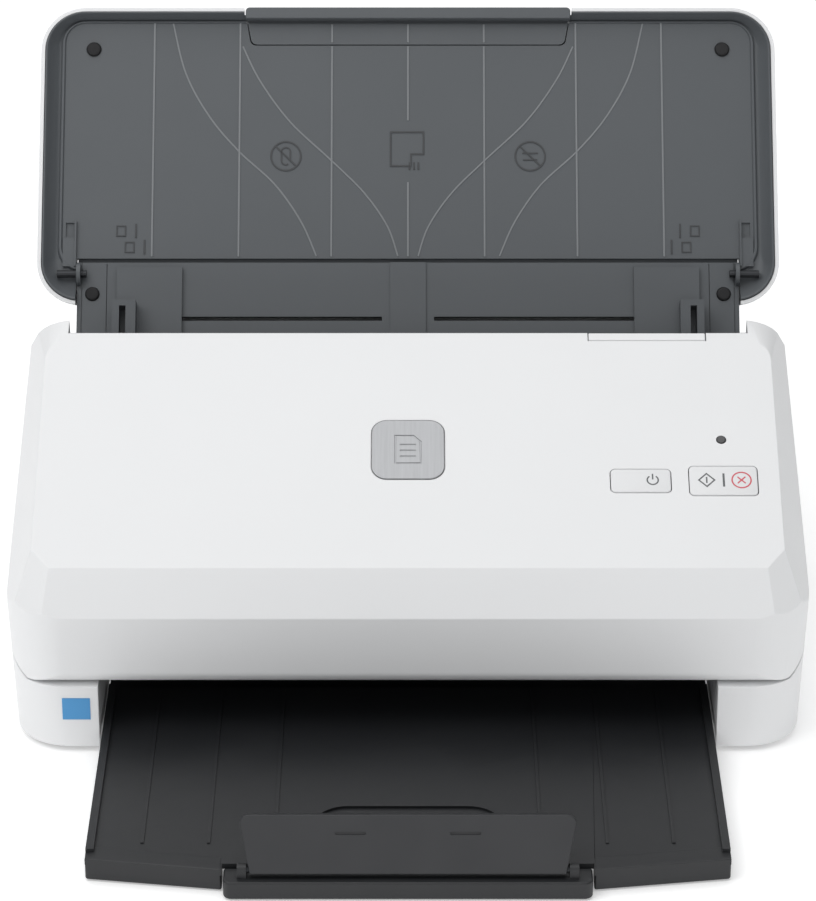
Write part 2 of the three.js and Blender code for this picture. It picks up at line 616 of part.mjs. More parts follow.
function sidePlate(side, train) {
  const forward = [[COVER_HINGE.y + 2, 34.4], [COVER_HINGE.y + 2, 38.1]];
  const front = [[-8, 38.1], [-2, 42], [44, 94.6], [74, 94.6], [74, 4.8], [-20, 4.8], [-20, 31], [-56, 34.4]];
  const [x0, x1] = spread(side, SIDE_PLATE.inner, SIDE_PLATE.outer);
  const sheet = runAlongX(outline([...forward, ...front].reverse()), x0, x1);
  const knuckle = rodAlongX(3.3, x0, x1, COVER_HINGE.y, COVER_HINGE.z, 16);
  const shafts = [train.feed, train.drive, train.exit];
  const bores = shafts.map(({ y, z }) => rodAlongX(SHAFT_RADIUS + 0.4, x0 - 1, x1 + 1, y, z, 20));
  const pinRadius = COVER_PIN_RADIUS + PIN_PLAY;
  const pinBore = rodAlongX(pinRadius, x0 - 1, x1 + 1, COVER_HINGE.y, COVER_HINGE.z, 16);
  const studs = [train.feedIdler, train.driveIdler, train.exitIdler];
  const idlerStuds = studs.map(({ y, z }) => rodAlongX(2, -GEAR_X.outer, -SIDE_PLATE.inner - 1, y, z, 16));
  const motorBore = rodAlongX(3, x0 - 1, x1 + 1, MOTOR.y, MOTOR.z, 20);
  const plate = cut(join(sheet, knuckle), ...bores, pinBore);
  return side < 0 ? cut(join(plate, ...idlerStuds), motorBore) : plate;
}

function upperRollers() {
  const above = (radius) => radius + 0.8;
  const separation = turnedAlongX(-30, [[2.5, -19], [10, 19], [2.5, 30]], FEED.l, above(10));
  const bands = tyreBands().flatMap(([x0, x1]) => [[2.2, x0], [5.5, x1]]);
  const pinch = [...bands, [2.2, 100]];
  add(path, 'separation_roller', separation, RUBBER);
  add(path, 'pinch_roller', turnedAlongX(-100, pinch, DRIVE.l, above(5.5), 12), RUBBER);
  add(path, 'exit_pinch_roller', turnedAlongX(-100, pinch, EXIT.l, above(5.5), 12), RUBBER);
}

function sensorFlag() {
  const hub = rodAlongX(2.4, 46, 54, FLAG.l, FLAG.n, 12);
  const blade = block(49, 51, FLAG.l - 1.5, FLAG.l + 1.5, FLAG.n, 4.2);
  const tail = block(49, 51, FLAG.l - 10, FLAG.l, FLAG.n - 1, FLAG.n + 1);
  return join(hub, blade, tail);
}

// ---- paper guides ------------------------------------------------------------------------------

function rackBar([x0, x1], [toothed0, toothed1], pitchL, towards) {
  const back = pitchL - towards * 4.6;
  const root = pitchL - towards * 1.2;
  const { n0, n1 } = RACK_N;
  const bar = block(x0, x1, Math.min(back, root), Math.max(back, root), n0, n1);
  const step = Math.PI * MODULE;
  const teeth = [];
  for (let x = step * (Math.ceil(toothed0 / step) + 0.5); x < toothed1; x += step) {
    const corners = [[x - 0.95, pitchL - towards * 1.3], [x + 0.95, pitchL - towards * 1.3]];
    const tips = [[x + 0.4, pitchL + towards * 0.75], [x - 0.4, pitchL + towards * 0.75]];
    const shape = outline(towards > 0 ? [...corners, ...tips] : [...corners, ...tips].reverse());
    teeth.push(raise(shape, n0, n1));
  }
  return join(bar, ...teeth);
}

function paperGuide(side) {
  const foot = block(...spread(side, 91, 117.3), -33, -3, GAP, 2);
  const fence = block(...spread(side, FENCE_X, 118.5), -37, -18.5, 1.5, 10);
  const slot = block(...spread(side, 113, 115.6), -38, -21, 2.6, 11);
  const web = spread(side, RACK_WEB.inner, RACK_WEB.outer);
  const { n0, n1 } = RACK_N;
  const stem = block(...web, RACK_L - 0.5, RACK_L + 0.5, n0, 1);
  const rackSide = -side;
  const pitchL = RACK_L + rackSide * (PINION_TEETH * MODULE) / 2 + rackSide * 0.1;
  const toothed = spread(side, -8, GUIDE_TRAVEL + 5);
  const rack = rackBar(spread(side, -9, RACK_WEB.outer), toothed, pitchL, -rackSide);
  const bridge = rackSide > 0
    ? block(...web, RACK_L - 0.5, pitchL + 2, n0, n1)
    : block(...web, pitchL - 2, RACK_L + 0.5, n0, n1);
  return join(cut(join(foot, fence), slot), stem, bridge, rack);
}

function guidePinion() {
  const shape = outline(gearOutline(PINION_TEETH, Math.PI / 2).map(([a, b]) => [a, b + RACK_L]));
  return cut(raise(shape, RACK_N.n0, RACK_N.n1), postAlongZ(1.9, 0, RACK_L, -8, -3, 12));
}

// ---- input tray --------------------------------------------------------------------------------

function trayOutline(inset) {
  const half = LID_HALF - inset;
  const [foot, top] = [LID_FOOT_L + inset, LID_TOP_L - inset];
  return roundedOutline(-half, half, foot, top, LID_CORNER - inset);
}

function trayPinHole(side) {
  return rodAlongX(TRAY_PIN_RADIUS + PIN_PLAY, ...spread(side, 130, 142), LID_PIVOT.l, LID_PIVOT.n);
}

function trayCover() {
  const outer = raise(trayOutline(0), LID_BACK_N, LID_RIM_N - 0.4, 6);
  const inner = raise(trayOutline(1.6), LID_BACK_N + 1.8, LID_RIM_N + 1, 6);
  const hingeGap = block(-LOBE_INNER + 0.6, LOBE_INNER - 0.6, LID_FOOT_L - 1, 6.5, -20, 20);
  const { half } = EXTENSION;
  const handleGap = block(-half - GAP, half + GAP, LID_TOP_L - 8, LID_TOP_L + 2, -5.4, 20);
  const holes = SIDES.map(([, side]) => trayPinHole(side));
  const lobes = SIDES.map(([, side]) => {
    const [x0, x1] = spread(side, LOBE_INNER - 0.6, LOBE_INNER + 1);
    return block(x0, x1, LID_FOOT_L + 4, 8, LID_BACK_N + 1, -2.4);
  });
  return cut(join(cut(outer, inner, hingeGap, handleGap), ...lobes), ...holes);
}

function trayPanel() {
  const outer = raise(trayOutline(2), -SHEET, LID_RIM_N, 6);
  const dish = raise(roundedOutline(-PANEL_HALF, PANEL_HALF, -60, PANEL_TOP_L, 2, 9), 0, 10, 5);
  const lobe = (side) => block(...spread(side, LOBE_INNER, 150), -70, 0, -1, 11);
  const dishArea = cut(dish, ...SIDES.map(([, side]) => lobe(side)));
  const gapHalf = LOBE_INNER - 0.6;
  const hingeGap = block(-gapHalf, gapHalf, LID_FOOT_L - 1, PANEL_FOOT_L, -20, 20);
  const { half, handleFoot } = EXTENSION;
  const handleGap = block(-half - GAP, half + GAP, handleFoot - GAP, LID_TOP_L + 2, -20, 20);
  const { x, l, radius } = TRAY_BUMPER;
  const bumperHoles = SIDES.map(([, side]) => postAlongZ(radius + 0.3, side * x, l, -1.2, 3));
  const pinHoles = SIDES.map(([, side]) => trayPinHole(side));
  return cut(outer, dishArea, hingeGap, handleGap, ...bumperHoles, ...pinHoles);
}

function trayExtension() {
  const { half, handleFoot, plateFoot } = EXTENSION;
  const plate = block(-half + 4, half - 4, plateFoot, handleFoot + 4, -4.6, -2.5);
  const handle = block(-half, half, handleFoot, LID_TOP_L, -4.6, 0.2);
  const lip = block(-half, half, PANEL_TOP_L, LID_TOP_L, 0, LID_RIM_N);
  return join(plate, handle, lip);
}

function bumper({ x, l, radius }, side, n0, n1) {
  return postAlongZ(radius, side * x, l, n0, n1);
}

function inputTray() {
  add(path, 'input_tray_cover', trayCover(), SHELL_WHITE);
  add(path, 'input_tray_panel', trayPanel(), TRAY_GREY);
  add(path, 'tray_extension', trayExtension(), TRAY_GREY);
  for (const [name, side] of SIDES) {
    const pin = rodAlongX(TRAY_PIN_RADIUS, ...spread(side, 129.5, 141.4), LID_PIVOT.l, LID_PIVOT.n);
    add(path, `tray_hinge_pin_${name}`, pin, STEEL);
    add(path, `chute_bumper_${name}`, bumper(CHUTE_BUMPER, side, -2.1, 1.2), RUBBER);
    add(path, `tray_bumper_${name}`, bumper(TRAY_BUMPER, side, -0.9, 1.3), RUBBER);
    add(path, `guide_${name}`, paperGuide(side), TRAY_GREY);
  }
  add(path, 'guide_pinion', guidePinion(), GEAR_WHITE);
}

// ---- output tray -------------------------------------------------------------------------------

function outputTray() {
  const { half, front, centreFront, rear, top, floor } = TRAY;
  const notchHalf = TONGUE.half + 0.6;
  const frontEdge = [[-half, front], [-notchHalf, centreFront], [notchHalf, centreFront], [half, front]];
  const deck = raise(outline([...frontEdge, [half, rear], [-half, rear]]), floor, top);
  const rails = SIDES.map(([, side]) => block(...spread(side, half - 3, half), -172, rear, 4.8, top + 1.6));
  const bars = SIDES.map(([, side]) => {
    const inner = side * notchHalf;
    const outer = side * half;
    const points = [[outer, front], [inner, centreFront], [inner, centreFront + 9], [outer, front + 9]];
    return raise(outline(side < 0 ? points : points.reverse()), 0.5, top + 0.2);
  });
  const notch = block(-notchHalf, notchHalf, -200, TONGUE.lipBack + GAP, 0, 20);
  return cut(join(deck, ...rails, ...bars), notch);
}

function outputExtension() {
  const { half, front, lipBack, rear } = TONGUE;
  const plate = block(-half + 4, half - 4, lipBack - 1, rear, 4.8, 6.4);
  const lip = raise(roundedOutline(-half, half, front, lipBack, 3), 0.5, 7.5, 3);
  const { y, z } = STOP_PIN;
  const lugs = SIDES.map(([, side]) => block(...spread(side, 57.6, 61), y - 2.4, y + 2.4, 7, z + 2.2));
  const bores = SIDES.map(([, side]) => rodAlongX(STOP_PIN_RADIUS + PIN_PLAY, ...spread(side, 56, 63), y, z));
  return cut(join(plate, lip, ...lugs), ...bores);
}

function paperStop() {
  const stop = new THREE.Group();
  stop.position.set(0, STOP_PIN.y, STOP_PIN.z);
  stop.rotation.x = STOP_LEAN;
  const { footHalf, topHalf, height, thick, lip } = STOP;
  const foot = [[-footHalf, -1.5], [footHalf, -1.5]];
  const inner = topHalf - lip;
  const top = [[topHalf, height - lip], [inner, height], [-inner, height], [-topHalf, height - lip]];
  const board = outline([...foot, ...top]);
  const ridge = block(-inner, inner, height - lip, height, -3.6, 0);
  const solid = join(raise(board, -thick / 2, thick / 2), ridge);
  const bore = rodAlongX(STOP_PIN_RADIUS + PIN_PLAY, -80, 80, 0, 0);
  add(stop, 'paper_stop', cut(solid, bore), TRAY_BLACK);
  scanner.add(stop);
  const pin = rodAlongX(STOP_PIN_RADIUS, -60.6, 60.6, STOP_PIN.y, STOP_PIN.z);
  add(scanner, 'stop_hinge_pin', pin, STEEL);
}

// ---- assembly ----------------------------------------------------------------------------------

const train = gearTrain();

for (const [name, side] of SIDES) {
  add(scanner, `side_cover_${name}`, sideCover(side), SHELL_WHITE);
  add(scanner, `side_plate_${name}`, sidePlate(side, train), FRAME_GREY);
  const [x0, x1] = spread(side, SIDE_PLATE.inner - 1, 129);
  const pin = rodAlongX(COVER_PIN_RADIUS, x0, x1, COVER_HINGE.y, COVER_HINGE.z);
  add(scanner, `cover_hinge_pin_${name}`, pin, STEEL);
}
add(scanner, 'rear_cover', rearCover(), SHELL_WHITE);
add(scanner, 'base_pan', basePan(), TRAY_BLACK);
rubberFeet();
connectors();
add(scanner, 'front_cover', frontCover(), SHELL_WHITE);
faceControls();
add(path, 'upper_paper_guide', upperGuide(), FRAME_GREY);
add(path, 'input_chute', inputChute(), TRAY_GREY);
add(path, 'lower_paper_guide', lowerGuide(), FRAME_GREY);
scanModules();
rollersAndGears(train);
upperRollers();
add(path, 'paper_sensor_flag', sensorFlag(), FRAME_GREY);
inputTray();
add(scanner, 'output_tray', outputTray(), TRAY_BLACK);
add(scanner, 'output_extension', outputExtension(), TRAY_BLACK);
paperStop();

const bounds = new THREE.Box3().setFromObject(scanner, true);
scanner.position.y = -(bounds.min.y + bounds.max.y) / 2;

export default scanner;
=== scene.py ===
import json
import math

import bmesh
import bpy
from mathutils import Matrix, Vector


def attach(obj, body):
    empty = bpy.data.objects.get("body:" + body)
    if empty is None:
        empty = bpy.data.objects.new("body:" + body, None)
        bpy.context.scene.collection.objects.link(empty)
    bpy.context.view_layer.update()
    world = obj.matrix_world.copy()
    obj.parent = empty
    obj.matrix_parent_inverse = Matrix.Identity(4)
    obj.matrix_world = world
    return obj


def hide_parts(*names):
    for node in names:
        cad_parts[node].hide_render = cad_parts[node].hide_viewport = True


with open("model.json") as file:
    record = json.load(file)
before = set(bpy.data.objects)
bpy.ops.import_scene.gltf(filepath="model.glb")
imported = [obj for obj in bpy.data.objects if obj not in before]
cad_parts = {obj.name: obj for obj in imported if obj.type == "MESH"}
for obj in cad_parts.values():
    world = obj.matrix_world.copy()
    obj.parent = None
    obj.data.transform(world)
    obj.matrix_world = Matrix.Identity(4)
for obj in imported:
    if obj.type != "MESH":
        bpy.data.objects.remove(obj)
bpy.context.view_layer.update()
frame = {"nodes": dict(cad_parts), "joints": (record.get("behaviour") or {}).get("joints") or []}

# ---- frames and driving sizes, in millimetres of the scanner's own body frame ---------------------

MM = 0.001
COVER_HINGE = (-80.0, 35.0)
PATH_ANGLE = math.radians(52)
PATH_TOP = (74.0, 135.0)
FACE_ANGLE = math.radians(27.5)
FACE_TOP = (24.0, 125.1)
STOP_PIN = (-185.0, 10.0)
STOP_LEAN = math.radians(65)


def joint(name):
    return next(j for j in frame["joints"] if j["name"] == name)


SHIFT_Y = joint("adf_cover_hinge")["pos_m"][1] / MM - COVER_HINGE[0]
BODY = Matrix.Translation((0, SHIFT_Y, 0))


def tilted(origin, angle):
    return Matrix.Translation((0, origin[0], origin[1])) @ Matrix.Rotation(angle, 4, "X")


PATH = tilted(PATH_TOP, PATH_ANGLE)
FACE = tilted(FACE_TOP, FACE_ANGLE)
STOP = tilted(STOP_PIN, STOP_LEAN)

HALF_WIDTH = 152.3
FLANK = ((-5, 149.8), (55, 152.3), (60, 152.3), (145, 147.9))
FRONT_Y, REAR_Y = -86.0, 86.0
FRONT_CORNER, REAR_CORNER = 22.0, 9.0
WALL = 2.4
BEYOND = 160.0  # past the casing on both sides
SEAM_Z = 29.0
BOTTOM_Z = 2.5
DECK_Z = 98.0
REAR_SEAM_Y = 77.6
SEAM_GAP = 0.5
BAY_HALF = 117.2
EAR_INNER = 133.6
EAR_TOP = (32.0, 129.4)
EAR_FOOT = (36.4, 103.6)
BAND_TOP_Z = 57.7
CHAMFER_TOP = (-75.0, 73.5)
HINGE_ROUND = 6.0
PIN_BORE = 1.9
SIDES = (("left", -1), ("right", 1))

# ---- solids ---------------------------------------------------------------------------------------


def arc(cx, cy, radius, start, end, steps):
    turns = [math.radians(start + (end - start) * i / steps) for i in range(steps + 1)]
    return [(cx + radius * math.cos(a), cy + radius * math.sin(a)) for a in turns]


def rounded(x0, x1, y0, y1, lower, upper=None, steps=12):
    upper = lower if upper is None else upper
    points = arc(x1 - lower, y0 + lower, lower, -90, 0, steps)
    points += arc(x1 - upper, y1 - upper, upper, 0, 90, steps)
    points += arc(x0 + upper, y1 - upper, upper, 90, 180, steps)
    points += arc(x0 + lower, y0 + lower, lower, 180, 270, steps)
    return points


def solid_object(bm, matrix=None):
    bmesh.ops.remove_doubles(bm, verts=bm.verts, dist=1e-4)
    bmesh.ops.recalc_face_normals(bm, faces=bm.faces)
    mesh = bpy.data.meshes.new("solid")
    bm.to_mesh(mesh)
    bm.free()
    if matrix is not None:
        mesh.transform(matrix)
    obj = bpy.data.objects.new("solid", mesh)
    bpy.context.scene.collection.objects.link(obj)
    return obj


def prism(points, low, high, matrix=None):
    """A flat outline in X and Y, raised from low to high."""
    bm = bmesh.new()
    base = [bm.verts.new((x, y, low)) for x, y in points]
    face = bm.faces.new(base)
    raised = bmesh.ops.extrude_face_region(bm, geom=[face])["geom"]
    up = [v for v in raised if isinstance(v, bmesh.types.BMVert)]
    bmesh.ops.translate(bm, verts=up, vec=(0, 0, high - low))
    return solid_object(bm, matrix)


ALONG_X = Matrix(((0, 0, 1, 0), (1, 0, 0, 0), (0, 1, 0, 0), (0, 0, 0, 1)))


def run(points, x0, x1):
    """A side profile in Y and Z, run along X."""
    return prism(points, x0, x1, ALONG_X)


def block(x0, x1, y0, y1, z0, z1, matrix=None):
    return prism([(x0, y0), (x1, y0), (x1, y1), (x0, y1)], z0, z1, matrix)


def rod(radius, x0, x1, y, z, steps=32):
    return run(arc(y, z, radius, 0, 360 - 360 / steps, steps - 1), x0, x1)


def post(radius, x, y, z0, z1, steps=32, matrix=None):
    return prism(arc(x, y, radius, 0, 360 - 360 / steps, steps - 1), z0, z1, matrix)


def apply_modifiers(obj):
    bpy.context.view_layer.update()
    graph = bpy.context.evaluated_depsgraph_get()
    made = bpy.data.meshes.new_from_object(obj.evaluated_get(graph))
    obj.modifiers.clear()
    obj.data = made
    return obj


def combine(base, tools, operation):
    for tool in tools:
        modifier = base.modifiers.new("combine", "BOOLEAN")
        modifier.operation = operation
        modifier.solver = "EXACT"
        modifier.object = tool
    apply_modifiers(base)
    for tool in tools:
        bpy.data.objects.remove(tool)
    return base


def cut(base, *tools):
    return combine(base, tools, "DIFFERENCE")


def join(base, *tools):
    return combine(base, tools, "UNION")


def common(base, *tools):
    return combine(base, tools, "INTERSECT")


def clean(obj, angle=0.6):
    bm = bmesh.new()
    bm.from_mesh(obj.data)
    bmesh.ops.remove_doubles(bm, verts=bm.verts, dist=2e-3)
    bmesh.ops.dissolve_degenerate(bm, edges=bm.edges, dist=1e-3)
    bmesh.ops.dissolve_limit(bm, angle_limit=math.radians(angle), verts=bm.verts, edges=bm.edges)
    bm.to_mesh(obj.data)
    bm.free()
    return obj


def round_edges(obj, width, angle=20, segments=4):
    """Rounds the solid's own edges for good, before anything is cut into it."""
    clean(obj)
    modifier = obj.modifiers.new("round", "BEVEL")
    modifier.width = width
    modifier.segments = segments
    modifier.limit_method = "ANGLE"
    modifier.angle_limit = math.radians(angle)
    return apply_modifiers(obj)


def offset_line(points, distance):
    """The line of points moved to its right, as it is walked, by a distance."""
    normals = []
    for (y0, z0), (y1, z1) in zip(points, points[1:]):
        step = Vector((y1 - y0, z1 - z0)).normalized()
        normals.append(Vector((step.y, -step.x)))
    moved = []
    for i, (y, z) in enumerate(points):
        total = normals[max(i - 1, 0)] + normals[min(i, len(normals) - 1)]
        total *= 2 * distance / total.length_squared
        moved.append((y + total.x, z + total.y))
    return moved


def both(side, a, b):
    return (-b, -a) if side < 0 else (a, b)


# ---- finishing a piece ----------------------------------------------------------------------------


def soften(obj, width, segments=2, angle=25):
    """Small moulded radii on every edge, and even shading across the flat faces."""
    bevel = obj.modifiers.new("edge_radius", "BEVEL")
    bevel.width = width * MM
    bevel.segments = segments
    bevel.limit_method = "ANGLE"
    bevel.angle_limit = math.radians(angle)
    bevel.use_clamp_overlap = True
    weighted = obj.modifiers.new("even_normals", "WEIGHTED_NORMAL")
    weighted.mode = "FACE_AREA"
    weighted.weight = 90
    weighted.keep_sharp = True


def even_shading(mesh):
    for polygon in mesh.polygons:
        polygon.use_smooth = True
    mesh.set_sharp_from_angle(angle=math.radians(32))


def piece(obj, name, body, material, matrix=BODY, radius=0.3, nodes=(), angle=25):
    clean(obj)
    obj.data.transform(Matrix.Scale(MM, 4) @ matrix)
    obj.name = name
    obj.data.name = name
    even_shading(obj.data)
    if radius:
        soften(obj, radius, angle=angle)
    obj.data.materials.clear()
    obj.data.materials.append(material)
    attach(obj, body)
    if nodes:
        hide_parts(*nodes)
    return obj


# ---- materials ------------------------------------------------------------------------------------


class Nodes:
    """A short way to write a material's node tree."""

    def __init__(self, name):
        self.material = bpy.data.materials.new(name)
        self.material.use_nodes = True
        self.tree = self.material.node_tree
        self.shader = self.tree.nodes["Principled BSDF"]
        self.place = self.add("ShaderNodeTexCoord").outputs["Object"]

    def add(self, kind, **values):
        node = self.tree.nodes.new(kind)
        for key, value in values.items():
            if key in node.inputs:
                node.inputs[key].default_value = value
            else:
                setattr(node, key, value)
        return node

    def link(self, output, node, key):
        self.tree.links.new(output, node.inputs[key])

    def noise(self, scale, detail=3.0, roughness=0.5, stretch=None):
        node = self.add("ShaderNodeTexNoise", Scale=scale, Detail=detail, Roughness=roughness)
        source = self.place
        if stretch:
            mapping = self.add("ShaderNodeMapping", Scale=stretch)
            self.link(source, mapping, "Vector")
            source = mapping.outputs["Vector"]
        self.link(source, node, "Vector")
        return node.outputs["Fac"]

    def ramp(self, source, low, high):
        node = self.add("ShaderNodeMapRange")
        node.inputs["From Min"].default_value = 0.3
        node.inputs["From Max"].default_value = 0.7
        node.inputs["To Min"].default_value = low
        node.inputs["To Max"].default_value = high
        self.link(source, node, "Value")
        return node.outputs["Result"]

    def tint(self, source, dark, light):
        node = self.add("ShaderNodeValToRGB")
        node.color_ramp.elements[0].position = 0.3
        node.color_ramp.elements[1].position = 0.7
        node.color_ramp.elements[0].color = (*dark, 1)
        node.color_ramp.elements[1].color = (*light, 1)
        self.link(source, node, "Fac")
        return node.outputs["Color"]

    def bump(self, source, strength, distance, after=None):
        node = self.add("ShaderNodeBump", Strength=strength, Distance=distance)
        self.link(source, node, "Height")
        if after is not None:
            self.link(after, node, "Normal")
        return node.outputs["Normal"]


def shade(color, factor):
    return tuple(min(1.0, c * factor) for c in color)


def moulded(name, color, roughness, grain=0.2, grain_size=2600, spread=0.02, gloss=0.04):
    """Moulded plastic: a fine spark eroded grain, a slight cloudiness, and uneven gloss from handling."""
    n = Nodes(name)
    cloud = n.noise(9.0, 4.0)
    n.link(n.tint(cloud, shade(color, 1 - spread), shade(color, 1 + spread)), n.shader, "Base Color")
    smudge = n.noise(42.0, 5.0, 0.6)
    n.link(n.ramp(smudge, roughness - gloss, roughness + gloss), n.shader, "Roughness")
    fine = n.noise(grain_size, 2.0, 0.7)
    n.link(n.bump(fine, grain, 0.00005), n.shader, "Normal")
    n.shader.inputs["IOR"].default_value = 1.5
    return n.material


def brushed(name, color, roughness, stretch):
    n = Nodes(name)
    streak = n.noise(900.0, 4.0, 0.6, stretch)
    n.link(n.tint(streak, shade(color, 0.86), shade(color, 1.1)), n.shader, "Base Color")
    n.link(n.ramp(streak, roughness - 0.07, roughness + 0.1), n.shader, "Roughness")
    n.link(n.bump(streak, 0.15, 0.00003), n.shader, "Normal")
    n.shader.inputs["Metallic"].default_value = 1.0
    return n.material


def rubber(name, color):
    n = Nodes(name)
    dust = n.noise(160.0, 6.0, 0.65)
    n.link(n.tint(dust, color, shade(color, 1.5)), n.shader, "Base Color")
    n.link(n.ramp(dust, 0.75, 0.92), n.shader, "Roughness")
    n.link(n.bump(n.noise(1500.0, 3.0), 0.35, 0.0001), n.shader, "Normal")
    return n.material


def board(name, color):
    """Solder mask over copper tracks."""
    n = Nodes(name)
    tracks = n.add("ShaderNodeTexBrick", Scale=160.0)
    tracks.inputs["Color1"].default_value = (*color, 1)
    tracks.inputs["Color2"].default_value = (*shade(color, 0.75), 1)
    tracks.inputs["Mortar"].default_value = (*shade(color, 1.8), 1)
    tracks.inputs["Mortar Size"].default_value = 0.012
    n.link(n.place, tracks, "Vector")
    n.link(tracks.outputs["Color"], n.shader, "Base Color")
    n.link(n.ramp(n.noise(60.0), 0.28, 0.42), n.shader, "Roughness")
    n.link(n.bump(tracks.outputs["Fac"], 0.3, 0.00005), n.shader, "Normal")
    return n.material


def clear_glass(name):
    n = Nodes(name)
    n.link(n.tint(n.noise(30.0), (0.74, 0.82, 0.82), (0.84, 0.9, 0.9)), n.shader, "Base Color")
    n.link(n.ramp(n.noise(70.0, 5.0), 0.02, 0.07), n.shader, "Roughness")
    n.shader.inputs["Transmission Weight"].default_value = 0.9
    n.shader.inputs["IOR"].default_value = 1.5
    return n.material


def brushed_badge(name, color):
    n = Nodes(name)
    arcs = n.noise(700.0, 4.0, 0.6, (1.0, 0.05, 0.05))
    n.link(n.tint(arcs, shade(color, 0.9), shade(color, 1.1)), n.shader, "Base Color")
    n.link(n.ramp(arcs, 0.3, 0.42), n.shader, "Roughness")
    n.link(n.bump(arcs, 0.1, 0.00002), n.shader, "Normal")
    n.shader.inputs["Metallic"].default_value = 0.75
    return n.material


WHITE = moulded("shell_white_plastic", (0.80, 0.805, 0.812), 0.36, grain=0.12, spread=0.008)
KEY_WHITE = moulded("key_white_plastic", (0.76, 0.765, 0.772), 0.33, grain=0.08, spread=0.008)
GREY = moulded("tray_grey_plastic", (0.084, 0.092, 0.1), 0.5, grain=0.35, grain_size=1900)
MARK_DARK = moulded("mark_dark_plastic", (0.045, 0.048, 0.052), 0.45, grain=0.2)
# Ribs and creases of the tray panel: a lighter grey than the panel, a painted highlight standing in for the
# light caught along their raised edges.
RIB_PAINTED_HIGHLIGHT = moulded("rib_painted_highlight_plastic", (0.19, 0.2, 0.21), 0.45, grain=0.25)
BLACK = moulded("tray_black_plastic", (0.014, 0.015, 0.017), 0.48, grain=0.4, grain_size=1700)
STOP_BLACK = moulded("stop_black_plastic", (0.021, 0.022, 0.025), 0.42, grain=0.3)
FRAME_DARK = moulded("frame_dark_plastic", (0.045, 0.048, 0.052), 0.6, grain=0.35)
ACETAL = moulded("gear_acetal", (0.7, 0.68, 0.62), 0.4, grain=0.12)
RUBBER = rubber("roller_rubber", (0.012, 0.012, 0.013))
STEEL = brushed("pin_steel", (0.58, 0.59, 0.6), 0.3, (1.0, 0.04, 1.0))
PIN_DARK = brushed("pin_dark_oxide", (0.05, 0.052, 0.056), 0.45, (1.0, 0.04, 1.0))
SILVER = brushed_badge("badge_silver", (0.34, 0.345, 0.355))
GLASS = clear_glass("scan_glass_clear")
PCB = board("board_solder_mask", (0.012, 0.11, 0.05))
LENS = moulded("status_lens_smoke", (0.05, 0.05, 0.052), 0.14, grain=0.03)
BLUE = moulded("label_blue_film", (0.06, 0.30, 0.62), 0.3, grain=0.1)
ICON_GREY = moulded("icon_ink_grey", (0.11, 0.115, 0.12), 0.5, grain=0.1)
ICON_RED = moulded("icon_ink_red", (0.62, 0.09, 0.12), 0.45, grain=0.1)

# ---- casing ---------------------------------------------------------------------------------------


def stack(levels):
    """A closed solid through equal outlines, each at its own height."""
    bm = bmesh.new()
    loops = [[bm.verts.new((x, y, z)) for x, y in points] for z, points in levels]
    count = len(loops[0])
    for lower, upper in zip(loops, loops[1:]):
        for i in range(count):
            j = (i + 1) % count
            bm.faces.new((lower[i], lower[j], upper[j], upper[i]))
    bm.faces.new(loops[0])
    bm.faces.new(loops[-1])
    return solid_object(bm)


def plan_solid(inset):
    """The rounded plan of the casing, widest at the height of the front band."""
    front, rear = FRONT_Y + inset, REAR_Y - inset
    corners = FRONT_CORNER - inset, REAR_CORNER - inset
    return stack([(z, rounded(inset - half, half - inset, front, rear, *corners, 16)) for z, half in FLANK])


PLATEAU = {"half": 142.0, "top": -2.1, "corner": 11.0}
SIDE_FALL, TOP_FALL = 1.75, 0.15
FOOT_FACET = ((141.5, -103.6, 0), (135.1, -111.6, 0), (139.6, -126.3, -9.0))


def face_planes():
    """Points and outward directions of the flats round the face plateau, in the face's own frame."""
    half, top, corner = PLATEAU["half"], PLATEAU["top"], PLATEAU["corner"]
    a, b, c = (Vector(point) for point in FOOT_FACET)
    foot = (b - a).cross(c - a).normalized()
    planes = [(a, foot)]
    steps = 9
    side, back = math.atan(SIDE_FALL), math.atan(TOP_FALL)
    for i in range(steps + 1):
        turn = math.radians(90 * i / steps)
        fall = math.tan(back + (side - back) * (1 - i / steps) ** 3)
        out = Vector((math.cos(turn), math.sin(turn), 0))
        centre = Vector((half - corner, top - corner, 0))
        planes.append((centre + out * corner, (out * fall + Vector((0, 0, 1))).normalized()))
    mirrored = [(Vector((-p.x, p.y, p.z)), Vector((-n.x, n.y, n.z))) for p, n in planes]
    return planes + mirrored


def bevel_solid(inset):
    """Everything under the face plateau, with its bevelled flanks, foot facets and round upper corners."""
    reach, ear, corner = 154 - inset, 150.2 - inset, 7 - inset
    top = 9.6
    outline = [(-reach, -200), (reach, -200)]
    outline += arc(ear - corner, top - corner, corner, 0, 90, 12)
    outline += arc(corner - ear, top - corner, corner, 90, 180, 12)
    solid = prism(outline, -190, -inset)
    bm = bmesh.new()
    bm.from_mesh(solid.data)
    for point, out in face_planes():
        everything = bm.verts[:] + bm.edges[:] + bm.faces[:]
        place = point - out * inset
        opened = bmesh.ops.bisect_plane(bm, geom=everything, plane_co=place, plane_no=out, clear_outer=True)
        rim = [e for e in opened["geom_cut"] if isinstance(e, bmesh.types.BMEdge)]
        if rim:
            bmesh.ops.contextual_create(bm, geom=rim)
    bmesh.ops.recalc_face_normals(bm, faces=bm.faces)
    bm.to_mesh(solid.data)
    bm.free()
    solid.data.transform(FACE)
    return solid


def face_line():
    y, z = COVER_HINGE
    return arc(y, z, HINGE_ROUND, 270, 180, 9) + [(FRONT_Y, BAND_TOP_Z), CHAMFER_TOP, FACE_TOP]


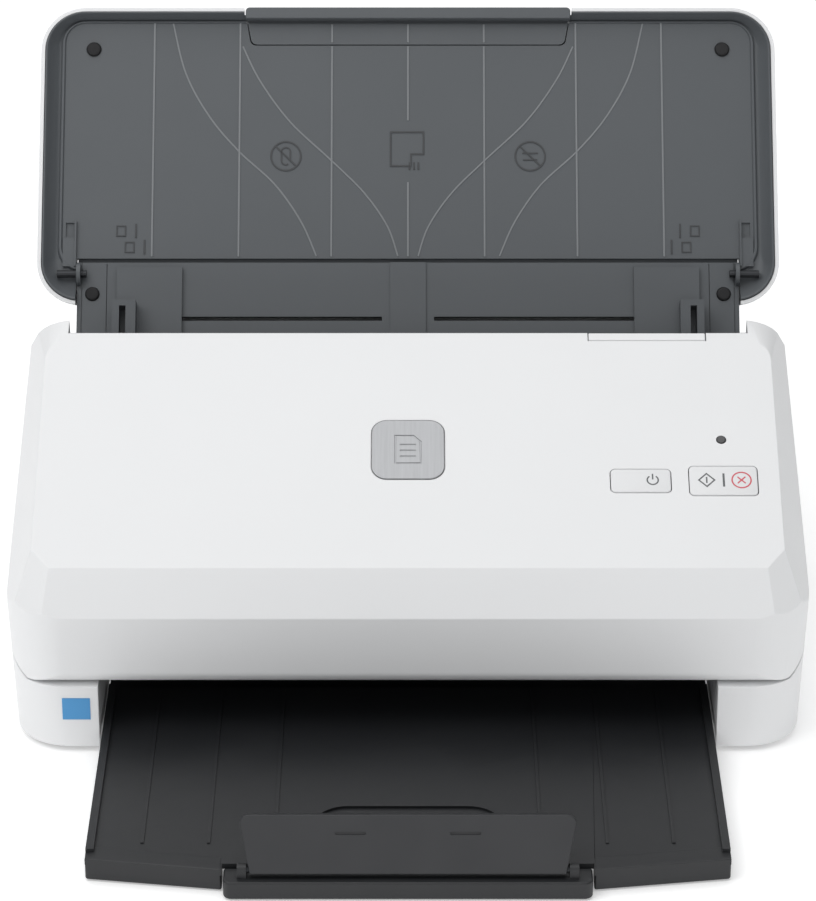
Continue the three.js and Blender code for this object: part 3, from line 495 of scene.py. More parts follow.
# Along X and then along the face: the keys' edges, the light's centre and radius, the badge's half width,
# centre and corner radius, and the latch bar's ends and lower edge.
KEYS = {"power": (77.4, 100.3, -76.7, -65.9), "scan": (107.4, 133.4, -78.1, -64.5)}
LED = (120.5, -51.7, 1.65)
BADGE = (14.0, -56.5, 6.0)
LATCH = (70.9, 116.7, -3.0)
KEY_GAP, BADGE_GAP, LATCH_GAP = 0.35, 0.3, 0.4
MARK_FOOT = 0.2


def key_points(key, grow):
    x0, x1, v0, v1 = KEYS[key]
    return rounded(x0 - grow, x1 + grow, v0 - grow, v1 + grow, 1.8 + grow, steps=8)


def badge_points(grow):
    half, v, corner = BADGE
    return rounded(-half - grow, half + grow, v - half - grow, v + half + grow, corner + grow, steps=10)


def front_cover():
    line = face_line()
    outer = run(line + [EAR_TOP, EAR_FOOT], -BEYOND, BEYOND)
    shell = round_edges(common(outer, plan_solid(0), bevel_solid(0)), 1.6, angle=14, segments=5)
    inner = offset_line(line, WALL)
    far = 60.0
    rise = inner[-1][1] + (far - inner[-1][0]) * math.tan(FACE_ANGLE)
    hollow = run(inner + [(far, rise), (far, 0), (COVER_HINGE[0], 0)], -BEYOND, BEYOND)
    hollow = common(hollow, plan_solid(WALL), bevel_solid(WALL))
    ears = [block(*both(side, EAR_INNER, BEYOND), 5, 60, 0, 200) for _, side in SIDES]
    pockets = cut(hollow, *ears)
    opening = block(-EAR_INNER, EAR_INNER, FACE_TOP[0] + 1, 60, 60, 200)
    tools = [pockets, opening]
    for _, side in SIDES:
        tools.append(ear_pocket(side))
    shell = cut(shell, *tools)
    lugs = [block(*both(side, 125.4, 129.4), FRONT_Y + 1, -76.6, 31.8, 38.4) for _, side in SIDES]
    shell = join(shell, *lugs)
    holes = [prism(key_points(key, KEY_GAP), -6, 3, FACE) for key in KEYS]
    holes.append(post(LED[2] + KEY_GAP, LED[0], LED[1], -6, 3, matrix=FACE))
    holes.append(prism(badge_points(BADGE_GAP), -0.9, 3, FACE))
    x0, x1, v0 = LATCH
    holes.append(block(x0 - LATCH_GAP, x1 + LATCH_GAP, v0 - LATCH_GAP, 12, -9, 4, FACE))
    holes.append(rod(PIN_BORE, -131, 131, *COVER_HINGE))
    shell = cut(shell, *holes)
    name = "front_cover"
    return piece(shell, name + "_shell", "adf_cover", WHITE, nodes=[name], radius=0.25)


def ear_pocket(side):
    x0, x1 = both(side, EAR_INNER + WALL, HALF_WIDTH - WALL - 1.2)
    profile = [(0, 109.3), (27, 123.4), (30.4, 123.4), (33.6, 104.0), (0, 84)]
    return common(run(profile, x0, x1), bevel_solid(WALL - 0.6), plan_solid(WALL - 0.6))


def side_cover(name, side):
    seam = [(FRONT_Y, SEAM_Z - SEAM_GAP), (-79, SEAM_Z - SEAM_GAP), (36, 102.0)]
    back = [(41, DECK_Z), (REAR_SEAM_Y, DECK_Z), (REAR_SEAM_Y, BOTTOM_Z), (FRONT_Y, BOTTOM_Z)]
    whole = run(seam + back, *both(side, BAY_HALF, BEYOND))
    whole = round_edges(common(whole, plan_solid(0)), 0.8, angle=30)
    x0, x1 = both(side, 119.0, BEYOND)
    ledge = SEAM_Z - SEAM_GAP - WALL
    low = block(x0, x1, FRONT_Y + WALL, 90, -1, ledge)
    high = block(x0, x1, -77, 90, ledge - 1, 120)
    behind = block(*both(side, 116, BEYOND), -22, 90, -1, 120)
    cavity = common(join(low, high, behind), plan_solid(WALL))
    outer_deck = block(*both(side, 134.2, 149.2), 44, REAR_SEAM_Y, DECK_Z - 2, DECK_Z)
    inner_deck = block(*both(side, 120, 135), 64, REAR_SEAM_Y, DECK_Z - 2, DECK_Z)
    shell = join(cut(whole, cavity), outer_deck, inner_deck)
    node = f"side_cover_{name}"
    return piece(shell, node + "_shell", "base", WHITE, nodes=[node])


def rear_cover():
    seam, hump, cheek, front, brow, top = 78.0, 119.5, 117.3, 68.5, 78.0, 116.0
    wall = common(block(-BEYOND, BEYOND, seam, REAR_Y + 9, BOTTOM_Z, DECK_Z), plan_solid(0))
    inside = block(-BEYOND, BEYOND, seam - 1, REAR_Y + 9, BOTTOM_Z - 1, DECK_Z - 2)
    wall = cut(wall, common(inside, plan_solid(WALL)))
    profile = [(front, DECK_Z - 1), (front, top)] + arc(brow, top - 6, 6, 90, 60, 3)
    profile += arc(brow, top - 10, 8, 50, 0, 6) + [(REAR_Y, DECK_Z - 1)]
    raised = run(profile, -hump, hump)
    low = block(-cheek, cheek, 60, REAR_Y - WALL, DECK_Z - 3, top - 6)
    high = block(-cheek, cheek, 60, 81, 90, top - 2.2)
    shell = join(wall, cut(raised, low, high))
    sockets = [block(-46.5, -33.5, 70, 90, 23.5, 35.5), block(-76.5, -64.5, 70, 90, 23.5, 35.5)]
    vents = []
    for row in range(6):
        z = 52 + row * 5
        for side in (-1, 1):
            vents.append(block(*both(side, 30, 104), 80, 90, z, z + 1.6))
    shell = cut(shell, *sockets, *vents)
    name = "rear_cover"
    return piece(shell, name + "_shell", "base", WHITE, nodes=[name], radius=0.5, angle=40)


# ---- things on the face -----------------------------------------------------------------------------


def inner_points(points, width):
    """The closed outline, drawn in by a width."""
    count = len(points)
    moved = []
    for i, (x, y) in enumerate(points):
        before = Vector(points[i - 1])
        after = Vector(points[(i + 1) % count])
        step = (after - before).normalized()
        moved.append((x - step.y * width, y + step.x * width))
    return moved


def ring(points, width, low, high):
    inner = inner_points(points, width)
    return cut(prism(points, low, high), prism(inner, low - 1, high + 1))


def key_caps():
    for key, body in (("power", "power_key"), ("scan", "scan_key")):
        cap = round_edges(prism(key_points(key, 0), -3, 0.3), 0.35, angle=30, segments=3)
        node = f"{key}_button"
        piece(cap, node + "_cap", body, KEY_WHITE, BODY @ FACE, 0, nodes=[node])


def mark(points, name, body, material, height=0.34):
    flat = prism(points, MARK_FOOT, height)
    return piece(flat, name, body, material, BODY @ FACE, 0)


def circle(x, y, radius, steps=40):
    return arc(x, y, radius, 0, 360 - 360 / steps, steps - 1)


def stroke(points, width):
    """The outline of a line of even width through the points."""
    left, right = offset_line(points, -width / 2), offset_line(points, width / 2)
    return left + right[::-1]


def ring_mark(x, y, radius, width, name, body, material):
    flat = cut(prism(circle(x, y, radius), MARK_FOOT, 0.36), prism(circle(x, y, radius - width), -1, 3))
    return piece(flat, name, body, material, BODY @ FACE, 0)


def face_marks():
    x, v = 93.4, -71.1
    sweep = stroke(arc(x, v, 2.1, 125, 415, 30), 0.55)
    mark(sweep, "power_icon_arc", "power_key", ICON_GREY)
    mark(stroke([(x, v + 0.3), (x, v + 2.9)], 0.55), "power_icon_bar", "power_key", ICON_GREY)
    x = 114.0
    half = 3.4
    diamond = [(x - half, v), (x, v - half), (x + half, v), (x, v + half)]
    small = [(x - half + 0.75, v), (x, v - half + 0.75), (x + half - 0.75, v), (x, v + half - 0.75)]
    flat = cut(prism(diamond, 0.2, 0.36), prism(small, -1, 3))
    piece(flat, "scan_icon_diamond", "scan_key", ICON_GREY, BODY @ FACE, 0)
    mark(stroke([(x, v - 1.4), (x, v + 1.4)], 0.55), "scan_icon_bar", "scan_key", ICON_GREY)
    mark(stroke([(120.5, v - 3.1), (120.5, v + 3.1)], 0.8), "key_divider", "scan_key", ICON_GREY)
    x = 127.3
    ring_mark(x, v, 3.9, 0.55, "cancel_icon_ring", "scan_key", ICON_RED)
    reach = 1.5
    for i, sign in enumerate((-1, 1)):
        line = [(x - reach, v - sign * reach), (x + reach, v + sign * reach)]
        mark(stroke(line, 0.55), f"cancel_icon_cross_{i}", "scan_key", ICON_RED, height=0.34 + 0.02 * i)


def status_lens():
    dome = post(LED[2], LED[0], LED[1], -2.6, 0.2, 32)
    dome = round_edges(dome, 0.25, angle=40, segments=3)
    piece(dome, "status_lens_dome", "adf_cover", LENS, BODY @ FACE, 0, nodes=["status_lens"])


def badge():
    half, v, _ = BADGE
    plate = round_edges(prism(badge_points(0), -0.5, 0.35), 0.3, angle=40, segments=3)
    # A sheet with a folded corner and three lines is cut into the plate.
    w, h, fold = 5.2, 6.8, 3.0
    sheet = [(-w, v - h), (w, v - h), (w, v + h - fold), (w - fold, v + h), (-w, v + h)]
    groove = ring(sheet, 0.7, 0.05, 2)
    lines = [block(-3.0, 3.0, v + y - 0.35, v + y + 0.35, 0.05, 2) for y in (-3.4, -0.6, 2.2)]
    plate = cut(plate, groove, *lines)
    name = "badge_plate"
    piece(plate, name + "_sheet", "adf_cover", SILVER, BODY @ FACE, 0.08, nodes=[name])


def latch():
    x0, x1, v0 = LATCH
    bar = round_edges(block(x0, x1, v0, 0.7, -3.6, -0.1), 0.4, angle=40, segments=3)
    bar = join(bar, block(88, 100, -24, v0 + 1, -6, -2.9))
    piece(bar, "cover_latch_bar", "latch", WHITE, BODY @ FACE, 0.15, nodes=["cover_latch"])


def blue_label():
    """A small film label that follows the round front corner of the left side cover."""
    x0, x1, z0, z1 = -131.0, -120.4, 14.4, 23.6
    corner_x = HALF_WIDTH - FRONT_CORNER
    bm = bmesh.new()
    steps = 16
    rows = []
    for lift in (0.05, 0.2):
        for z in (z0, z1):
            row = []
            for i in range(steps + 1):
                x = x0 + (x1 - x0) * i / steps
                over = max(0.0, -x - corner_x)
                turn = math.asin(over / FRONT_CORNER)
                y = FRONT_Y + FRONT_CORNER - (FRONT_CORNER + lift) * math.cos(turn)
                row.append(bm.verts.new((x - lift * math.sin(turn), y, z)))
            rows.append(row)
    back_low, back_high, front_low, front_high = rows
    strips = (back_low, back_high), (front_low, front_high), (back_low, front_low), (back_high, front_high)
    for low, high in strips:
        for i in range(steps):
            bm.faces.new((low[i], low[i + 1], high[i + 1], high[i]))
    for i in (0, steps):
        bm.faces.new((back_low[i], front_low[i], front_high[i], back_high[i]))
    piece(solid_object(bm), "blue_label_film", "base", BLUE, radius=0)


# ---- input tray -------------------------------------------------------------------------------------

LID = {"half": 149.5, "foot": -19.3, "top": 106.0, "corner": 18.0, "back": -11.5, "rim": 4.8}
PANEL = {"top": 101.0, "foot": 1.0}
GAP_HALF = 133.8
PIVOT = (-6.0, 2.2)
PIVOT_BORE = 1.8
PLAY = 0.4
TRAY_BUMPER = (128.3, 89.3)
CHUTE_BUMPER = (127.2, -13.8)
EXTENSION = {"half": 66.5, "foot": 91.4}


def tray_points(inset):
    half, low, high = LID["half"] - inset, LID["foot"] + inset, LID["top"] - inset
    return rounded(-half, half, low, high, LID["corner"] - inset, steps=14)


def tray_cover():
    draft, rim = 3.4, LID["rim"] - 1.6
    levels = [(LID["back"], tray_points(draft)), (rim, tray_points(0)), (LID["rim"] - 0.4, tray_points(0))]
    outer = round_edges(stack(levels), 3.2, angle=40, segments=6)
    front_trim = prism(tray_points(-2), LID["rim"] - 1.0, LID["rim"] + 9)
    outer = cut(outer, front_trim)
    floor, sheet = 1.8, 1.6
    inner_levels = [(LID["back"] + floor, tray_points(draft + floor)), (rim, tray_points(sheet))]
    inner = stack(inner_levels + [(LID["rim"] + 4, tray_points(sheet))])
    gap = block(-GAP_HALF, GAP_HALF, LID["foot"] - 2, 6.5, -30, 30)
    half = EXTENSION["half"] + PLAY
    notch = block(-half, half, LID["top"] - 8, LID["top"] + 4, -5.4, 20)
    shell = cut(outer, inner, gap, notch)
    lobes = []
    for _, side in SIDES:
        lobes.append(block(*both(side, GAP_HALF, 135.4), LID["foot"] + 4, 8, LID["back"] + 1, -2.4))
    shell = join(shell, *lobes)
    holes = [rod(PIVOT_BORE, *both(side, 130, 142), *PIVOT) for _, side in SIDES]
    shell = cut(shell, *holes)
    name = "input_tray_cover"
    return piece(shell, name + "_shell", "input_tray", WHITE, BODY @ PATH, 0, nodes=[name])


# The tray panel from its outer edge inwards: height, then how far in from the sides, the foot and the top.
PANEL_SECTION = (
    (-2.0, 1.9, 1.9, 1.9), (4.1, 1.9, 1.9, 1.9), (4.5, 2.1, 2.1, 2.1), (4.6, 2.5, 2.5, 2.4),
    (4.3, 3.0, 3.1, 2.7), (3.2, 3.6, 4.0, 3.0), (1.2, 5.2, 6.4, 3.7), (0.0, 6.4, 9.4, 4.1),
    (-0.5, 7.2, 12.4, 4.4), (-0.6, 7.9, 14.6, 4.6), (-0.3, 8.1, 15.0, 4.7), (0.5, 8.25, 15.3, 4.8),
    (0.8, 8.6, 15.8, 5.0), (0.8, 9.3, 16.6, 5.3), (0.5, 9.6, 17.0, 5.45), (0.0, 9.8, 17.2, 5.55),
)


def tray_outline(side, foot, top):
    half, low, high = LID["half"] - side, LID["foot"] + foot, LID["top"] - top
    return rounded(-half, half, low, high, LID["corner"] - side, steps=16)


def tray_panel():
    panel = stack([(height, tray_outline(*insets)) for height, *insets in PANEL_SECTION])
    gap = block(-GAP_HALF, GAP_HALF, LID["foot"] - 2, PANEL["foot"], -20, 20)
    half = EXTENSION["half"] + PLAY
    notch = prism(handle_points(PLAY), -20, 20)
    rise = block(-half, half, LID["top"] - 3, LID["top"] + 2, -20, 20)
    cheeks = [block(*both(side, 134.4, 139.4), -2.4, 9.4, -0.5, 0.75) for _, side in SIDES]
    walls = [block(*both(side, 134.0, 134.7), -2.4, 16.5, -0.5, 1.5) for _, side in SIDES]
    panel = cut(join(panel, *cheeks, *walls), gap, notch, rise)
    recesses = [block(*both(side, 135.0, 138.4), 10.2, 16.0, -0.9, 3) for _, side in SIDES]
    holes = [post(3.1, side * TRAY_BUMPER[0], TRAY_BUMPER[1], -1.2, 3) for _, side in SIDES]
    holes += [rod(PIVOT_BORE, *both(side, 130, 142), *PIVOT) for _, side in SIDES]
    panel = cut(panel, *recesses, *holes)
    name = "input_tray_panel"
    place = BODY @ PATH
    return piece(panel, name + "_dish", "input_tray", GREY, place, 0.18, nodes=[name], angle=35)


def handle_points(grow):
    half, foot, top = EXTENSION["half"] + grow, EXTENSION["foot"] - grow, LID["top"] + 2 * grow
    low_half = half - 2.3
    corner = 2.6
    points = arc(low_half - corner, foot + corner, corner, -90, -8, 8) + [(half, top)]
    return points + [(-x, y) for x, y in points[::-1]]


def tray_extension():
    half, foot, top = EXTENSION["half"], EXTENSION["foot"], LID["top"]
    handle = prism(handle_points(0), -4.6, 0.2)
    handle = cut(handle, block(-80, 80, top, top + 5, -9, 9))
    lip = prism(rounded(-half + 0.2, half - 0.2, 101.2, top, 0.6, 1.6, 6), 0, LID["rim"] - 0.3)
    lip = round_edges(lip, 0.5, angle=40, segments=3)
    undercut = block(-half + 1.5, half - 1.5, 100.4, 101.8, -0.6, 1.4)
    plate = block(-half + 4, half - 4, 12, foot + 4, -4.6, -2.5)
    whole = cut(join(handle, lip, plate), undercut)
    name = "tray_extension"
    return piece(whole, name + "_plate", "extension", GREY, BODY @ PATH, 0.2, nodes=[name])


# ---- chute and guides -------------------------------------------------------------------------------

CHUTE = {"half": 121.3, "foot": -46.5, "top": -0.7}
RACK_L = -24.0


def chute():
    half, foot, top = CHUTE["half"], CHUTE["foot"], CHUTE["top"]
    sheet = block(-half, half, foot, top, -2, 0)
    slots = [block(*both(side, 10.5, 116.5), RACK_L - 0.85, RACK_L + 0.85, -4, 3) for _, side in SIDES]
    sheet = cut(sheet, *slots)
    rise = block(-7.2, 7.2, foot, top, -0.5, 0.8)
    ribs = [block(x - 0.35, x + 0.35, foot, -37.5, 0.4, 1.5) for x in (-4.6, -1.6, 1.6, 4.6)]
    post_solid = post(1.6, 0, RACK_L, -8.2, -1)
    # A web under the tray's foot closes the gap between tray and chute from view.
    web_half = 133.2
    web = block(-web_half, web_half, -3, 3.6, -5.4, -2.4)
    web_link = block(-web_half, web_half, -6, -2, -5.4, -1.9)
    whole = join(sheet, rise, *ribs, post_solid, web, web_link)
    arms = [chute_arm(side) for _, side in SIDES]
    whole = join(whole, *arms)
    name = "input_chute"
    return piece(whole, name + "_sheet", "base", GREY, BODY @ PATH, 0.22, nodes=[name])


def chute_arm(side):
    inner, outer, foot, top = 121.0, 133.4, -41.0, CHUTE["top"]
    arm = block(*both(side, inner, outer), foot, top, -10.5, 0.0)
    hollow = block(*both(side, inner + 2, outer - 1.8), foot - 1, top - 2, -12, -2)
    groove_out = block(*both(side, 131.3, 131.7), foot - 1, top + 1, -0.5, 1)
    groove_in = block(*both(side, 120.6, 121.6), foot - 1, top - 0.5, -1.0, 1)
    arm = cut(arm, hollow, groove_out, groove_in)
    y, z = PIVOT
    eye = rod(4.4, *both(side, 131.8, 133.4), y, z)
    foot_block = block(*both(side, 131.8, 133.4), y - 4.4, y + 4.4, -2, z)
    guard = run([(foot + 1, -0.4), (foot + 9, -0.4), (foot + 1, 2.6)], *both(side, 128.6, 131.0))
    x, along = CHUTE_BUMPER
    floor_solid = post(4, side * x, along, -4.5, -1.6)
    arm = join(arm, eye, foot_block, floor_solid, guard)
    pin_hole = rod(PIVOT_BORE, *both(side, 130, 135), y, z)
    dimple = post(2.95, side * x, along, -2.5, 1)
    return cut(arm, pin_hole, dimple)


def ridge(points, name, body, material, width=0.8, base=-0.3, top=0.32):
    strip = prism(stroke(points, width), base, top)
    return piece(strip, name, body, material, BODY @ PATH, 0.12)


def s_curve(knots, steps=8):
    """A smooth line through the knots."""
    padded = [knots[0]] + list(knots) + [knots[-1]]
    points = []
    for a, b, c, d in zip(padded, padded[1:], padded[2:], padded[3:]):
        for i in range(steps):
            t = i / steps
            point = []
            for p, q, r, s in zip(a, b, c, d):
                square, cube = 2 * p - 5 * q + 4 * r - s, 3 * q - p - 3 * r + s
                point.append(0.5 * (2 * q + (r - p) * t + square * t * t + cube * t ** 3))
            points.append(tuple(point))
    return points + [tuple(knots[-1])]


CREASES = (
    ((96, 100.4), (90.6, 79), (81, 61), (68.7, 46), (54, 32), (43.4, 16.6), (37, 2)),
    ((67.4, 90.6), (60.4, 76), (48, 58.5), (31, 42), (17.7, 28.4), (8.3, 14.4), (4.1, 2)),
)


def panel_lines():
    # The ribs and creases take the lighter rib grey, a painted highlight along each raised line.
    top, foot = PANEL["top"] - 0.4, PANEL["foot"] + 0.8
    for i, x in enumerate((31, 68.5, 103.5)):
        high = top if x > EXTENSION["half"] else EXTENSION["foot"] - 0.8
        for name, side in SIDES:
            ridge([(side * x, foot), (side * x, high)], f"panel_rib_{name}_{i}", "input_tray", RIB_PAINTED_HIGHLIGHT)
            if x < EXTENSION["half"]:
                line = [(side * x, EXTENSION["foot"] + 0.8), (side * x, PANEL["top"] - 1)]
                ridge(line, f"handle_rib_{name}_{i}", "extension", RIB_PAINTED_HIGHLIGHT, base=0, top=0.5)
    ridge([(0, foot), (0, 33)], "panel_rib_middle_low", "input_tray", RIB_PAINTED_HIGHLIGHT)
    ridge([(0, 59), (0, EXTENSION["foot"] - 0.8)], "panel_rib_middle_high", "input_tray", RIB_PAINTED_HIGHLIGHT)
    line = [(0, EXTENSION["foot"] + 0.8), (0, PANEL["top"] - 1)]
    ridge(line, "handle_rib_middle", "extension", RIB_PAINTED_HIGHLIGHT, base=0, top=0.5)
    for i, knots in enumerate(CREASES):
        for name, side in SIDES:
            line = s_curve([(side * x, y) for x, y in knots])
            ridge(line, f"panel_crease_{name}_{i}", "input_tray", RIB_PAINTED_HIGHLIGHT, width=0.7, top=0.22 + 0.03 * i)


def panel_ring(x, y, radius, name):
    flat = cut(prism(circle(x, y, radius), -0.3, 0.3), prism(circle(x, y, radius - 0.7), -1, 3))
    piece(flat, name, "input_tray", MARK_DARK, BODY @ PATH, 0.08)


def panel_stroke(points, name, width=0.7):
    flat = prism(stroke(points, width), -0.3, 0.3)
    piece(flat, name, "input_tray", MARK_DARK, BODY @ PATH, 0.08)


def panel_icons():
    """Small moulded hints: no staples, no clips, page position, and sheet width ticks."""
    y = 44.0
    for name, side in SIDES:
        x = side * 49.6
        panel_ring(x, y, 6.4, f"hint_ring_{name}")
        slash = [(x - 4.2, y + 4.2), (x + 4.2, y - 4.2)]
        panel_stroke(slash, f"hint_slash_{name}")
    loop = rounded(-49.6 - 1.8, -49.6 + 1.8, y - 3.6, y + 3.6, 1.7, steps=6)
    panel_stroke(loop[6:] + loop[:3], "hint_clip_loop", 0.6)
    panel_stroke([(49.6 - 3.2, y + 1.2), (49.6 + 3.2, y + 1.2)], "hint_staple_top", 0.6)
    panel_stroke([(49.6 - 2.9, y - 1.6), (49.6 + 2.9, y - 1.6)], "hint_staple_low", 0.6)
    page = [(-7.4, 39.5), (-7.4, 54.5), (6.6, 54.5), (6.6, 44.5), (1.5, 44.5), (1.5, 39.5)]
    within = [(-6.7, 40.2), (-6.7, 53.8), (5.9, 53.8), (5.9, 45.2), (0.8, 45.2), (0.8, 40.2)]
    sheet = cut(prism(page, -0.3, 0.3), prism(within, -1, 3))
    piece(sheet, "hint_page", "input_tray", MARK_DARK, BODY @ PATH, 0.08)
    for i, x in enumerate((0.6, 2.4, 4.2)):
        panel_stroke([(x, 38.2), (x, 41.4)], f"hint_feed_line_{i}", 0.7)
    for name, side in SIDES:
        panel_stroke([(side * 110, 9.6), (side * 110, 15.5)], f"width_tick_wide_{name}")
        panel_stroke([(side * 106.5, 2.8), (side * 106.5, 8.8)], f"width_tick_narrow_{name}")
        for row, (x, low) in enumerate(((116, 10.2), (112.5, 3.4))):
            near, far, high = side * (x - 2), side * (x + 2), low + 4.6
            outline = [(near, low), (far, low), (far, high), (near, high)]
            outline = outline if side > 0 else outline[::-1]
            flat = ring(outline, 0.75, -0.3, 0.3)
            label = f"width_sheet_{name}_{row}"
            piece(flat, label, "input_tray", MARK_DARK, BODY @ PATH, 0.08)


def bumpers():
    for name, side in SIDES:
        for node, body, x, y, low, high, radius in (
            (f"tray_bumper_{name}", "input_tray", *TRAY_BUMPER, -0.9, 1.3, 2.8),
            (f"chute_bumper_{name}", "base", *CHUTE_BUMPER, -2.1, 1.2, 2.65),
        ):
            dome = round_edges(post(radius, side * x, y, low, high, 36), 0.8, angle=40, segments=4)
            piece(dome, node + "_dome", body, RUBBER, BODY @ PATH, 0, nodes=[node])


# ---- output tray ------------------------------------------------------------------------------------

TRAY = {"half": 116.0, "front": -176.7, "centre": -184.0, "rear": -52.0, "top": 9.0, "floor": 6.8}
TONGUE = {"half": 66.0, "front": -190.0, "back": -179.8, "rear": -108.0}


def output_tray():
    half, front, centre, rear = TRAY["half"], TRAY["front"], TRAY["centre"], TRAY["rear"]
    top, floor = TRAY["top"], TRAY["floor"]
    notch = TONGUE["half"] + 0.6
    edge = [(-half, front), (-notch, centre), (notch, centre), (half, front), (half, rear), (-half, rear)]
    deck = prism(edge, floor, top)
    rails = [block(*both(side, half - 3, half), -172, rear, 4.8, top + 1.6) for _, side in SIDES]
    bars = []
    for _, side in SIDES:
        outer, inner = side * half, side * notch
        points = [(outer, front), (inner, centre), (inner, centre + 9), (outer, front + 9)]
        bar = prism(points if side > 0 else points[::-1], 0.5, top + 0.2)
        bars.append(round_edges(bar, 0.9, angle=40, segments=4))
    tray = join(deck, *rails, *bars)
    tray = cut(tray, block(-notch, notch, -200, TONGUE["back"] + 0.4, 0, 20))
    # Shallow valleys let a finger reach under the sheets, and low ribs carry them.
    scoop = prism(rounded(-34, 34, -172, -140, 12, 12, 10), top - 1.1, top + 3)
    tray = cut(tray, scoop)
    ribs = []
    for x in (-96, -72, -48, 48, 72, 96):
        ribs.append(block(x - 0.6, x + 0.6, -166, rear - 2, top - 0.5, top + 0.5))
    tray = join(tray, *ribs)
    name = "output_tray"
    return piece(tray, name + "_deck", "out_tray", BLACK, radius=0.35, nodes=[name])


def output_extension():
    half, front, back, rear = TONGUE["half"], TONGUE["front"], TONGUE["back"], TONGUE["rear"]
    y, z = STOP_PIN
    lip = round_edges(prism(rounded(-half, half, front, back, 3, 1, 8), 0.5, 7.5), 0.8, angle=40, segments=4)
    plate = block(-half + 4, half - 4, back - 1, rear, 4.8, 6.4)
    lugs = []
    for _, side in SIDES:
        lug = [(y - 2.4, 7), (y + 2.4, 7), (y + 2.4, z)] + arc(y, z, 2.3, 20, 160, 10) + [(y - 2.4, z)]
        lugs.append(run(lug, *both(side, 57.6, 61)))
    whole = join(lip, plate, *lugs)
    whole = cut(whole, rod(1.5, -63, 63, y, z))
    name = "output_extension"
    return piece(whole, name + "_plate", "out_extension", BLACK, radius=0.25, nodes=[name])


def paper_stop():
    foot, top, height = 56.5, 60.0, 19.8
    left = [(-foot, -1.5), (foot, -1.5), (top, height - 3)]
    points = left + arc(top - 3, height - 3, 3, 0, 90, 8) + arc(-top + 3, height - 3, 3, 90, 180, 8)
    board_solid = round_edges(prism(points, -1.9, 1.9), 0.5, angle=40, segments=3)
    ridge_solid = block(-top + 3, top - 3, height - 3, height, -3.6, 0)
    stop = join(board_solid, ridge_solid)
    slots = []
    for side in (-1, 1):
        slots.append(prism(rounded(*both(side, 15, 26), 12.6, 13.8, 0.6, steps=6), 1.2, 3))
    stop = cut(stop, rod(1.5, -80, 80, 0, 0), *slots)
    name = "paper_stop"
    return piece(stop, name + "_board", "stop", STOP_BLACK, BODY @ STOP, 0.3, nodes=[name])


# ---- the CAD nodes that stay, with moulded edges and real materials ---------------------------------

KEPT = {
    "base_pan": (BLACK, 0.4),
    "lower_paper_guide": (FRAME_DARK, 0.3),
    "upper_paper_guide": (FRAME_DARK, 0.3),
    "lower_scan_module": (FRAME_DARK, 0.6),
    "upper_scan_module": (FRAME_DARK, 0.6),
    "lower_scan_glass": (GLASS, 0.2),
    "upper_scan_glass": (GLASS, 0.2),
    "side_plate_left": (FRAME_DARK, 0.3),
    "side_plate_right": (FRAME_DARK, 0.3),
    "main_board": (PCB, 0.1),
    "control_board": (PCB, 0.1),
    "usb_port": (STEEL, 0.2),
    "power_jack": (BLACK, 0.2),
    "drive_motor": (STEEL, 0.4),
    "motor_pinion": (STEEL, 0.1),
    "guide_left": (GREY, 0.3),
    "guide_right": (GREY, 0.3),
    "guide_pinion": (ACETAL, 0.1),
    "paper_sensor_flag": (BLACK, 0.2),
    "stop_hinge_pin": (PIN_DARK, 0.1),
}
for prefix, material, radius in (
    ("front_foot_", RUBBER, 0.4), ("rear_foot_", RUBBER, 0.4),
    ("tray_hinge_pin_", PIN_DARK, 0.2), ("cover_hinge_pin_", STEEL, 0.2),
):
    for suffix, _ in SIDES:
        KEPT[prefix + suffix] = (material, radius)
for stem in ("feed", "drive", "exit"):
    KEPT[stem + "_gear"] = (ACETAL, 0.15)
    KEPT[stem + "_idler_gear"] = (ACETAL, 0.15)
    KEPT[stem + "_roller"] = (RUBBER, 0.3)
for stem in ("separation", "pinch", "exit_pinch"):
    KEPT[stem + "_roller"] = (RUBBER, 0.3)


def keep_nodes():
    for name, (material, radius) in KEPT.items():
        node = frame["nodes"][name]
        flat = node.modifiers.new("whole_faces", "DECIMATE")
        flat.decimate_type = "DISSOLVE"
        flat.angle_limit = math.radians(1)
        even_shading(node.data)
        soften(node, radius)
        node.data.materials.clear()
        node.data.materials.append(material)


# ---- camera, floor and light ------------------------------------------------------------------------


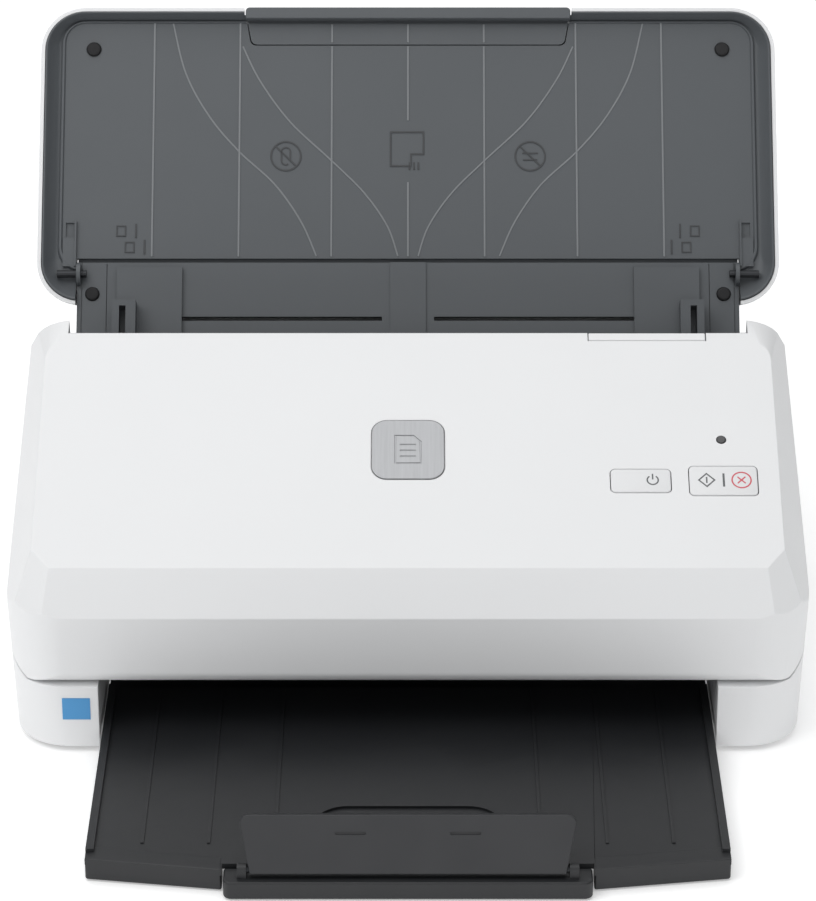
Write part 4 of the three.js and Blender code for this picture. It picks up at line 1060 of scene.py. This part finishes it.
def studio():
    floor_material = moulded("floor_pale", (0.97, 0.97, 0.97), 0.9, grain=0.0, spread=0.002)
    shader = floor_material.node_tree.nodes["Principled BSDF"]
    shader.inputs["Emission Color"].default_value = (1, 1, 1, 1)
    shader.inputs["Emission Strength"].default_value = 0.3
    bm = bmesh.new()
    reach = 6.0
    corners = [(-reach, -reach), (reach, -reach), (reach, reach), (-reach, reach)]
    bm.faces.new([bm.verts.new((x, y, 0)) for x, y in corners])
    mesh = bpy.data.meshes.new("studio_floor")
    bm.to_mesh(mesh)
    bm.free()
    floor = bpy.data.objects.new("studio_floor", mesh)
    bpy.context.scene.collection.objects.link(floor)
    mesh.materials.append(floor_material)

    world = bpy.data.worlds.new("studio")
    world.use_nodes = True
    world.node_tree.nodes["Background"].inputs["Color"].default_value = (0.98, 0.99, 1.0, 1)
    world.node_tree.nodes["Background"].inputs["Strength"].default_value = 0.36
    bpy.context.scene.world = world

    def area(name, place, target, size, power, tint=(1, 1, 1)):
        data = bpy.data.lights.new(name, "AREA")
        data.shape = "RECTANGLE"
        data.size, data.size_y = size
        data.energy = power
        data.color = tint
        light = bpy.data.objects.new(name, data)
        light.location = place
        light.rotation_euler = (Vector(target) - Vector(place)).to_track_quat("-Z", "Y").to_euler()
        bpy.context.scene.collection.objects.link(light)

    centre = (0, 0, 0.1)
    area("overhead_softbox", (-0.35, 0.1, 1.7), centre, (2.2, 2.0), 20.5)
    area("left_softbox", (-1.1, -0.9, 1.5), centre, (1.0, 1.2), 5)
    area("front_fill", (0.2, -2.4, 0.9), centre, (2.2, 1.0), 9)


def camera():
    tilt = math.radians(26)
    data = bpy.data.cameras.new("photo_camera")
    data.sensor_width = 36
    data.lens = 3750 / 901 * data.sensor_width
    data.clip_end = 50
    view = bpy.data.objects.new("photo_camera", data)
    view.location = Vector((0, -1320.5 + SHIFT_Y, 730.0)) * MM
    view.rotation_euler = (math.pi / 2 - tilt, 0, 0)
    bpy.context.scene.collection.objects.link(view)
    bpy.context.scene.camera = view


camera()
studio()
bpy.context.scene.view_settings.view_transform = "Standard"

front_cover()
for label, hand in SIDES:
    side_cover(label, hand)
rear_cover()
key_caps()
face_marks()
status_lens()
badge()
latch()
blue_label()
tray_cover()
tray_panel()
tray_extension()
chute()
panel_lines()
panel_icons()
bumpers()
output_tray()
output_extension()
paper_stop()
keep_nodes()
